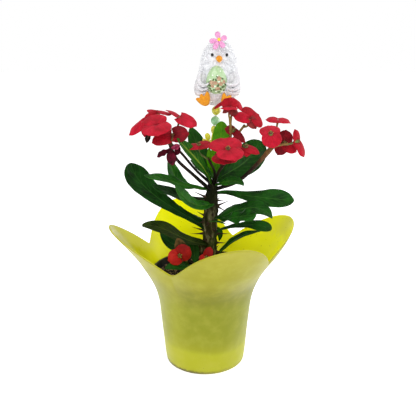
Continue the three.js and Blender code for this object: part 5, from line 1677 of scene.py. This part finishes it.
# ---- chick pick
@dataclass
class Egg:
    """The egg, narrower on top, with raised blossoms, leaves and dots across its front.

    They are listed by their place across from the middle, their height, their size and, for
    a leaf, its turn.
    """

    middle: Point = (11, 8.5, 276)
    half_width: float = 9.7
    half_height: float = 13.0
    squash: float = 0.72
    blossoms: Rows = (
        (-4.6, 274, 2.3), (-1.2, 273.6, 2.1), (2.2, 277.5, 2.4), (3.4, 272.8, 2.3),
        (6.4, 274.6, 1.9), (0.8, 268.6, 2.2), (-3.6, 270.8, 1.9))
    leaves: Rows = (
        (-6, 271.4, 1.6, 0.6), (1.2, 271.4, 1.5, 2.0), (5.4, 270.2, 1.7, 2.6),
        (-5.6, 268.6, 1.4, 1.0), (6.0, 267.2, 1.3, 0.4), (-0.8, 276.2, 1.3, 1.4),
        (5.2, 277.4, 1.2, 0.5), (-2.0, 267.4, 1.2, 0.2), (3.2, 268.2, 1.4, 1.2),
        (-4.4, 266.6, 1.2, 2.4), (-3.2, 276.4, 1.2, 2.0), (7.4, 272.2, 1.3, 1.0),
        (1.8, 265.6, 1.3, 0.1), (-6.8, 274.0, 1.2, 1.8), (0.2, 279.0, 1.0, 0.9))
    dots: Rows = (
        (0.6, 280), (-3.9, 280.4), (2.0, 274.6), (-0.6, 266), (4.4, 265.8), (-1.6, 270.6),
        (-6.2, 276.6), (3.6, 284))
    dot_size: float = 0.6

    def shell(self, a: Array | float, b: Array | float, grow: float = 0.0) -> Array:
        """Radius = half width sin a (1 - 0.17 cos a), height = half height cos a.

        Args:
            a: polar angle from the top, in radians.
            b: direction in radians.
            grow: how far outside the egg.

        Returns:
            Points, shape (..., 3).
        """
        x, y, z = self.middle
        r = (self.half_width + grow) * np.sin(a) * (1 - 0.17 * np.cos(a))
        return np.stack([x + r * np.cos(b), y + self.squash * r * np.sin(b),
                         z + (self.half_height + grow) * np.cos(a)], -1)

    def patch(self, x: float, z: float, size: float, lobes: int = 1, depth: float = 0.0,
              spin: float = 0.0) -> Surface:
        """Raised patch of radius size (1 - depth + depth |cos(lobes / 2 (c - spin))|^0.7).

        Args:
            x: place across, from the middle.
            z: height.
            size: its radius.
            lobes: how many lobes its edge has.
            depth: how deep they are cut, as a share of the radius.
            spin: which way they point, in radians.

        Returns:
            The closed surface.
        """
        up = math.acos((z - self.middle[2]) / self.half_height)
        aside = x / (self.half_width * math.sin(up))
        turn = math.asin(max(-0.95, min(0.95, aside))) - math.pi / 2
        c = around(30)
        edge = size * (1 - depth + depth * np.abs(np.cos(lobes / 2 * (c - spin))) ** 0.7)
        share = np.array([0.35, 0.7, 0.9, 1.0, 1.0])[:, None]
        lifts = (0.45, 0.4, 0.3, 0.1, -0.5)
        a = up + share * edge * np.sin(c) / 13
        b = turn + share * edge * np.cos(c) / (9 * np.maximum(np.sin(a), 0.3))
        rings = np.stack([self.shell(a[k], b[k], lift) for k, lift in enumerate(lifts)])
        return closed_rings(rings, self.shell(up, turn, 0.5), self.shell(up, turn, -0.6))

    def build(self) -> None:
        """The egg and everything on it as one piece."""
        a = np.linspace(0, np.pi, 42)[1:-1, None]
        b = around(60)[None]
        rings = self.shell(a * np.ones_like(b), b * np.ones_like(a))
        body = closed_rings(rings, self.shell(0.0, 0.0), self.shell(math.pi, 0.0))
        parts = [(body, Palette.EGG)]
        for x, z, size in self.blossoms:
            parts.append((self.patch(x, z, size, 5, 0.42, x), Palette.BLOSSOM))
            parts.append((self.patch(x, z, 0.34 * size), Palette.BLOSSOM_EYE))
        parts += [(self.patch(x, z, size, 2, 0.6, spin), Palette.EGG_LEAF)
                  for x, z, size, spin in self.leaves]
        parts += [(self.patch(x, z, self.dot_size), Palette.EGG_DOT) for x, z in self.dots]
        make_piece("egg_held", parts, ["chick_egg"])


@dataclass
class Chick:
    """Fluffy chick with felt feet, a beak, folded wings and a blossom on its head.

    The outline holds height, place across and half width. Feet are outlined by x and z, and
    the blossom's petals by direction, length and width.
    """

    middle: float = 21.0
    depth: float = 0.78
    outline: Rows = (
        (252.5, 4, 11.5), (255, 11, 11.5), (259, 16, 11.5), (264, 19, 11.6), (270, 20.5, 11.8),
        (277, 19.8, 12.2), (284, 18, 12.8), (291, 16.9, 13), (298, 15.6, 13.2),
        (304, 13, 13.2), (308, 9.6, 13.2), (310.6, 5, 13.2))
    tufts: int = 2600
    golden_turn: float = 2.399963
    eyes: tuple[float, float] = (6.8, 20.2)
    eye_y: float = 8.3
    eye_z: float = 298.3
    beak_at: Point = (13.1, 6.2, 294.8)
    sole: float = 4.6
    left_foot: Rows = (
        (1, 252.6), (-3, 253.6), (-6.4, 256.4), (-8.4, 259.2), (-6.8, 260.4), (-4.9, 260.4),
        (-4.6, 262.4), (-3.8, 264.4), (-2.2, 263.8), (-0.8, 262), (0.6, 263.8), (2, 266.4),
        (3.8, 264.8), (4.9, 261), (4.8, 257), (3.6, 253.8))
    right_foot: Rows = (
        (19, 252.8), (16.4, 254), (15, 257.4), (15.6, 261), (16.6, 264), (18, 265),
        (19.4, 263), (20.4, 261.6), (22.2, 262.6), (24.4, 262.4), (24.6, 260.6),
        (23.4, 258.8), (24, 256.4), (22.6, 253.8))
    wings_middle: float = 11.6
    feathers: tuple[tuple[Point, Point, Point, Point], ...] = (
        ((-3.4, 12, 283), (-4.9, 7.5, 275.6), (-1.9, 4.4, 271.6), (4.2, 3.4, 273.8)),
        ((-4.6, 13, 279), (-5.6, 8, 271), (-2.6, 4.6, 267.4), (3.6, 3.6, 269.4)),
        ((-5.4, 15, 273), (-5.4, 10, 266.6), (-3, 6, 264), (2.6, 4.8, 266)))
    blossom_at: Point = (12.9, 8.8, 311.4)
    petals: Rows = (
        (103, 8.0, 6.0), (20, 7.6, 6.0), (190, 8.8, 5.8), (243, 9.8, 5.6), (303, 8.6, 5.6))

    def body_points(self, up: Array, turn: Array) -> Array:
        """Points of the body: an oval round (x(z), middle) whose half width follows z.

        Args:
            up: heights.
            turn: directions in radians, same shape.

        Returns:
            Points, shape (..., 3).
        """
        z, half, x = np.array(self.outline, float).T
        spread = np.linspace(-2, 2, 5)
        at = np.clip(up[..., None] + spread, z[0], z[-1])
        width = np.interp(at, z, half).mean(-1)
        centre = np.interp(at, z, x).mean(-1)
        return np.stack([centre + width * np.cos(turn), self.middle + self.depth * width
                         * np.sin(turn), up + 0 * turn], -1)

    def body(self) -> Surface:
        """Rings from low to high, pushed out and in by the pile's ripple.

        Returns:
            The closed surface.
        """
        low, high = self.outline[0][0], self.outline[-1][0]
        z = low + (high - low) * (0.5 - 0.5 * np.cos(np.pi * np.linspace(0, 1, 70)[:, None]))
        a = around(110)[None]
        rings = self.body_points(z * np.ones_like(a), a * np.ones_like(z))
        core = rings.mean(1, keepdims=True)
        pile = 0.5 * ripple(rings, 5, 31) + 0.4 * ripple(rings, 2.2, 32)
        rings = rings + unit(rings - core) * pile[..., None]
        return closed_rings(rings, core[0, 0] - [0, 0, 0.8], core[-1, 0] + [0, 0, 0.8])

    def coat(self) -> Surface:
        """Tufts: little bent cones that lie down along the body, short round the eyes.

        They stand on a spiral. Each is a triangle at its foot, another at its bend, and a tip.

        Returns:
            All of them as one surface.
        """
        low, high = self.outline[0][0], self.outline[-1][0]
        rng = np.random.default_rng(33)
        share = (np.arange(self.tufts) + 0.5) / self.tufts
        height = low + 0.3 + (high - low - 0.7) * share
        angle = np.arange(self.tufts) * self.golden_turn
        foot = self.body_points(height, angle)
        above = self.body_points(height + 0.5, angle) - foot
        beside = self.body_points(height, angle + 0.02) - foot
        out = unit(np.cross(beside, above))
        down = -unit(above)
        jitter = rng.normal(size=(self.tufts, 3)) * 0.45
        lean = unit(down + jitter + 0.12 * out)
        length = rng.uniform(1.2, 2.0, self.tufts)[:, None]
        for x in self.eyes:
            bare = [x, self.eye_y + 1.2, self.eye_z + 1.1]
            near = np.linalg.norm(foot - bare, axis=1, keepdims=True)
            length = np.where(near < 4.2, 0.5, length)
        bend = foot - 0.5 * out + lean * length * 0.6 + out * 0.3
        tip = bend + unit(lean + down * 0.6) * length * 0.6
        first = unit(np.cross(out, lean))
        second = np.cross(lean, first)
        corner = np.radians([90, 210, 330])
        ring = (np.cos(corner)[None, :, None] * first[:, None]
                + np.sin(corner)[None, :, None] * second[:, None])
        root = (foot - 0.6 * out)[:, None] + ring * 0.62
        mid = bend[:, None] + ring * 0.5
        points = np.concatenate([root, mid, tip[:, None]], 1).reshape(-1, 3)
        start = 7 * np.arange(self.tufts)[:, None, None]
        sides = np.array([[0, 1, 4, 3], [1, 2, 5, 4], [2, 0, 3, 5]]) + start
        ends = np.array([[0, 2, 1], [3, 4, 6], [4, 5, 6], [5, 3, 6]]) + start
        return Surface(points, sides.reshape(-1, 4), ends.reshape(-1, 3)).outward()

    def feather(self, path: Sequence[Point], share: float, seed: int) -> Surface:
        """Flat plump feather along a path, roughened by a ripple.

        Args:
            path: four points from the wing to the egg.
            share: its thickness against the thickest feather.
            seed: seed of the ripple.

        Returns:
            The closed surface.
        """
        sides = 20
        t = np.linspace(0, 1, 22)
        line = cubic_through(path, t)[0]
        size = 5.6 * np.sin(np.pi * t**0.62) ** 0.7 * (1 - 0.35 * t) + 0.3
        surface = tube(line, size * share, sides, 0.5)
        middle = np.vstack([np.repeat(line, sides, 0), line[[0, -1]]])
        puff = 0.25 * ripple(surface.points, 3, seed)
        surface.points = surface.points + unit(surface.points - middle) * puff[:, None]
        return surface

    def wings(self) -> list[Part]:
        """A folded wing a side, and three feathers that curve from it in to the egg.

        Returns:
            Their surfaces with their finish.
        """
        centre = self.wings_middle
        surfaces = [ball((centre + side * 15.8, 13.5, 272.4), (5.4, 8.6, 11.4), 30, 24,
                         (0, -18 * side, 0)) for side in (1, -1)]
        for k, path in enumerate(self.feathers):
            for side in (1, -1):
                route = [(centre + side * (x - centre), y, z) for x, y, z in path]
                surfaces.append(self.feather(route, 1 - 0.1 * k, 40 + k))
        return [(surface, Palette.WING) for surface in surfaces]

    def foot(self, edge: Rows) -> list[Part]:
        """Padded felt foot over its outline, sole towards the front.

        Args:
            edge: the outline.

        Returns:
            The surface with its finish.
        """
        flat = curve_through(edge, 90, True)
        outline = np.stack([flat[:, 0], np.full(len(flat), self.sole), flat[:, 1]], -1)
        middle = outline.mean(0) - [0, 0, 0.6]
        return [(pillow(outline, middle, np.array([0, -1.0, 0]), 1.9, 9, 0.9),
                 Palette.FELT_ORANGE)]

    def beak(self) -> list[Part]:
        """Teardrop: an ellipsoid drawn out to a point below and in front.

        Returns:
            The surface with its finish.
        """
        at = np.array(self.beak_at)
        drop = ball(self.beak_at, (3.1, 3.4, 3), 28, 20)
        low = np.clip((at[2] - drop.points[:, 2]) / 3, 0, 1)[:, None]
        squeeze = 1 - 0.5 * low**1.4
        drawn = (drop.points - at) * np.hstack([squeeze, squeeze, 1 + 0.1 * low])
        drop.points = drawn + at + [0, -0.8, 0] * low
        return [(drop, Palette.FELT_ORANGE)]

    def blossom(self) -> list[Part]:
        """Five long cupped petals and a yellow middle, leaning back on the head.

        Returns:
            Their surfaces with their finishes.
        """
        hub = np.array(self.blossom_at)
        back = unit(np.array([0, -1.0, 0.36]))
        up = np.array([0, 0.34, 0.94])
        parts = []
        for angle, length, width in self.petals:
            a = math.radians(angle)
            ray = np.array([math.cos(a), 0, 0]) + up * math.sin(a)
            side = np.cross(ray, back)
            c = around(40)
            reach = length * (0.52 + 0.48 * np.cos(c))
            wide = width / 2 * np.sin(c) * (0.8 + 0.35 * np.cos(c))
            outline = hub + ray * reach[:, None] + side * wide[:, None]
            petal = pillow(outline, hub + ray * length * 0.58, back, 0.9, 6, 0.8)
            parts.append((petal, Palette.FELT_PINK))
        eye = ball(tuple(hub + back * 0.9), (1.5, 1.1, 1.5), 18, 12)
        return [*parts, (eye, Palette.FLOWER_EYE)]

    def build(self) -> None:
        """The chick, the egg that it holds and its felt pieces, each as its own piece."""
        eyes = [(ball((x, self.eye_y, self.eye_z), (1.35, 1.1, 1.5), 20, 14), Palette.EYE)
                for x in self.eyes]
        fluff = [(self.body(), Palette.FLUFF), (self.coat(), Palette.FLUFF)]
        make_piece("chick", fluff + self.wings() + eyes, ["chick_body"])
        Egg().build()
        make_piece("beak", self.beak(), ["chick_beak"])
        make_piece("foot_left", self.foot(self.left_foot), ["chick_foot_left"])
        make_piece("foot_right", self.foot(self.right_foot),
                   ["chick_foot_right"])
        make_piece("hair_blossom", self.blossom(), ["chick_flower"])


@dataclass
class Pick:
    """Stick with two beads and a ribbon bow, which carries the chick."""

    stick_path: tuple[Point, ...] = (
        (8, 22, 66), (8, 22, 150), (7.8, 22, 209), (8.4, 22, 229), (10.1, 22, 239),
        (10.8, 22, 249), (11.4, 22, 262))
    stick_radius: float = 1.1
    bead_radius: float = 4.4
    crackled_bead: Point = (10.8, 22, 247)
    pearl_bead: Point = (10, 22, 237.4)
    oval_bead: Point = (8.6, 22, 228.6)
    puffs: tuple[tuple[Point, Point, Point], ...] = (
        ((2.8, 17, 222.6), (2.7, 1.7, 3.9), (0, -14, 0)),
        ((0.2, 17, 218.8), (3.0, 1.3, 1.5), (0, 38, 0)),
        ((4.4, 17.4, 217.6), (3.6, 1.7, 1.8), (0, -10, 0)),
        ((9.8, 18, 219), (3.4, 1.5, 1.9), (0, 20, 0)),
        ((7, 17.6, 214.6), (1.5, 1.1, 3.2), (0, 12, 0)))

    def bow(self) -> list[Part]:
        """Ribbon bow: puffed crinkled loops and tails round a knot, and an oval bead.

        Returns:
            Their surfaces with their finishes.
        """
        knot = limb([(8.4, 21, 226), (7.6, 19, 223), (6.8, 18.4, 218)], [1.2, 1.3], 10)
        parts = [(ball(self.oval_bead, (3.0, 3.0, 4.2), 22, 16), Palette.YELLOW_BEAD),
                 (knot, Palette.RIBBON)]
        for at, size, turn in self.puffs:
            puff = ball(at, size, 30, 22, turn)
            away = unit(puff.points - np.array(at))
            puff.points = puff.points + away * 0.35 * ripple(puff.points, 2.6, 50)[:, None]
            parts.append((puff, Palette.RIBBON))
        return parts

    def build(self) -> None:
        """The stick, its beads and its bow, each as its own piece."""
        stick = limb(self.stick_path, [self.stick_radius] * 2, 14)
        make_piece("pick_rod", [(stick, Palette.STICK)], ["pick_stick"])
        size = (self.bead_radius,) * 3
        make_piece("bead_crackled", [(ball(self.crackled_bead, size, 32, 22),
                                      Palette.YELLOW_BEAD)], ["bead_yellow"])
        make_piece("bead_pearl", [(ball(self.pearl_bead, size, 32, 22), Palette.GREEN_BEAD)],
                   ["bead_green"])
        make_piece("bow", self.bow(), ["ribbon_bow"])


# ---- studio
@dataclass
class Studio:
    """Pale floor, white surroundings, soft lights and the camera.

    A lamp has its name, its place, its side in metres and its power in watts.
    """

    floor_side: float = 24.0
    lamps: tuple[tuple[str, Point, float, float], ...] = (
        ("key", (-500, -900, 1150), 0.7, 7.5), ("edge", (950, 250, 500), 0.8, 5),
        ("top", (100, 300, 1300), 1.0, 3.5), ("fill", (150, -1100, 420), 0.9, 2.2))
    lamps_aim: Point = (0, 0, 160)
    room_light: float = 0.5
    camera_at: Point = (3, -515, 295)
    look_at: Point = (3, 0, 156.4)
    focal_pixels: float = 555.0
    frame_pixels: float = 416.0
    sensor: float = 36.0

    def add(self, name: str, data: bpy.types.ID, at: Point, aim: Point) -> bpy.types.Object:
        """Puts a lamp or camera at a place and points it at another.

        Args:
            name: the object's name.
            data: the lamp's or camera's data.
            at: where it stands.
            aim: what it points at.

        Returns:
            The new object.
        """
        thing = bpy.data.objects.new(name, data)
        thing.location = np.array(at) * MM
        thing.rotation_euler = look(np.array(aim) * MM - np.array(at) * MM)
        bpy.context.scene.collection.objects.link(thing)
        return thing

    def floor(self) -> None:
        """A pale square that glows a little, so that it stays white."""
        half = self.floor_side / 2
        mesh = bpy.data.meshes.new("floor")
        mesh.from_pydata([(-half, -half, 0), (half, -half, 0), (half, half, 0),
                          (-half, half, 0)], [], [(0, 1, 2, 3)])
        floor = bpy.data.objects.new("floor", mesh)
        bpy.context.scene.collection.objects.link(floor)
        w = Wiring("floor_white")
        w.set({"Base Color": linear((250, 250, 250)), "Roughness": 0.9,
               "Specular IOR Level": 0.1, "Emission Color": linear((255, 255, 255)),
               "Emission Strength": 0.6})
        mesh.materials.append(w.material)

    def room(self) -> None:
        """White surroundings: full white where they are seen, dimmer as a light."""
        world = bpy.data.worlds.new("white_room")
        world.use_nodes = True
        tree = world.node_tree
        sky, seen = tree.nodes["Background"], tree.nodes.new("ShaderNodeBackground")
        for node, strength in ((sky, self.room_light), (seen, 1.0)):
            node.inputs["Color"].default_value = (1, 1, 1, 1)
            node.inputs["Strength"].default_value = strength
        path, both = tree.nodes.new("ShaderNodeLightPath"), tree.nodes.new("ShaderNodeMixShader")
        for start, end in ((path.outputs["Is Camera Ray"], both.inputs[0]),
                           (sky.outputs[0], both.inputs[1]), (seen.outputs[0], both.inputs[2]),
                           (both.outputs[0], tree.nodes["World Output"].inputs["Surface"])):
            tree.links.new(start, end)
        bpy.context.scene.world = world

    def build(self) -> None:
        """Makes the floor, the surroundings, the lights and the camera."""
        self.floor()
        self.room()
        for name, at, size, power in self.lamps:
            light = bpy.data.lights.new(name, "AREA")
            light.size, light.energy = size, power
            self.add(name, light, at, self.lamps_aim)
        lens = bpy.data.cameras.new("camera")
        lens.sensor_width = self.sensor
        lens.lens = self.sensor * self.focal_pixels / self.frame_pixels
        scene = bpy.context.scene
        scene.camera = self.add("camera", lens, self.camera_at, self.look_at)
        scene.view_settings.view_transform = "Standard"


def look(aim: Array) -> tuple[float, float, float]:
    """Euler angles that turn an object's -Z axis along `aim`, with its top upwards."""
    x, y, z = unit(aim)
    return (math.acos(-z), 0.0, math.atan2(-x, y))


def grow_tip() -> None:
    """The bud at the top of the stem and its small leaves, as one piece."""
    bud = ball((8, 0, 190), (3, 3, 5), 18, 12)
    parts = [(one.surface(), one.tone) for one in YOUNG]
    make_piece("young_growth", [*parts, (bud, MID)], ["leaves_young"])


def dress_pot() -> None:
    """Gives the nursery pot's own node its black plastic."""
    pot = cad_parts["nursery_pot"]
    pot.data.materials.clear()
    pot.data.materials.append(Palette.POT.material())


def main() -> None:
    """Builds every sub-assembly in order and the studio last; each piece notes its points and
    faces.
    """
    logging.basicConfig(level=logging.INFO, format="%(message)s")
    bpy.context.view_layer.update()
    dress_pot()
    for assembly in (PotCover(), PottingSoil(), Trunk(), *LEAVES):
        assembly.build()
    grow_tip()
    for assembly in (*STALKS, *FLOWERS.values(), Pick(), Chick(), Studio()):
        assembly.build()


if __name__ == "__main__":
    main()
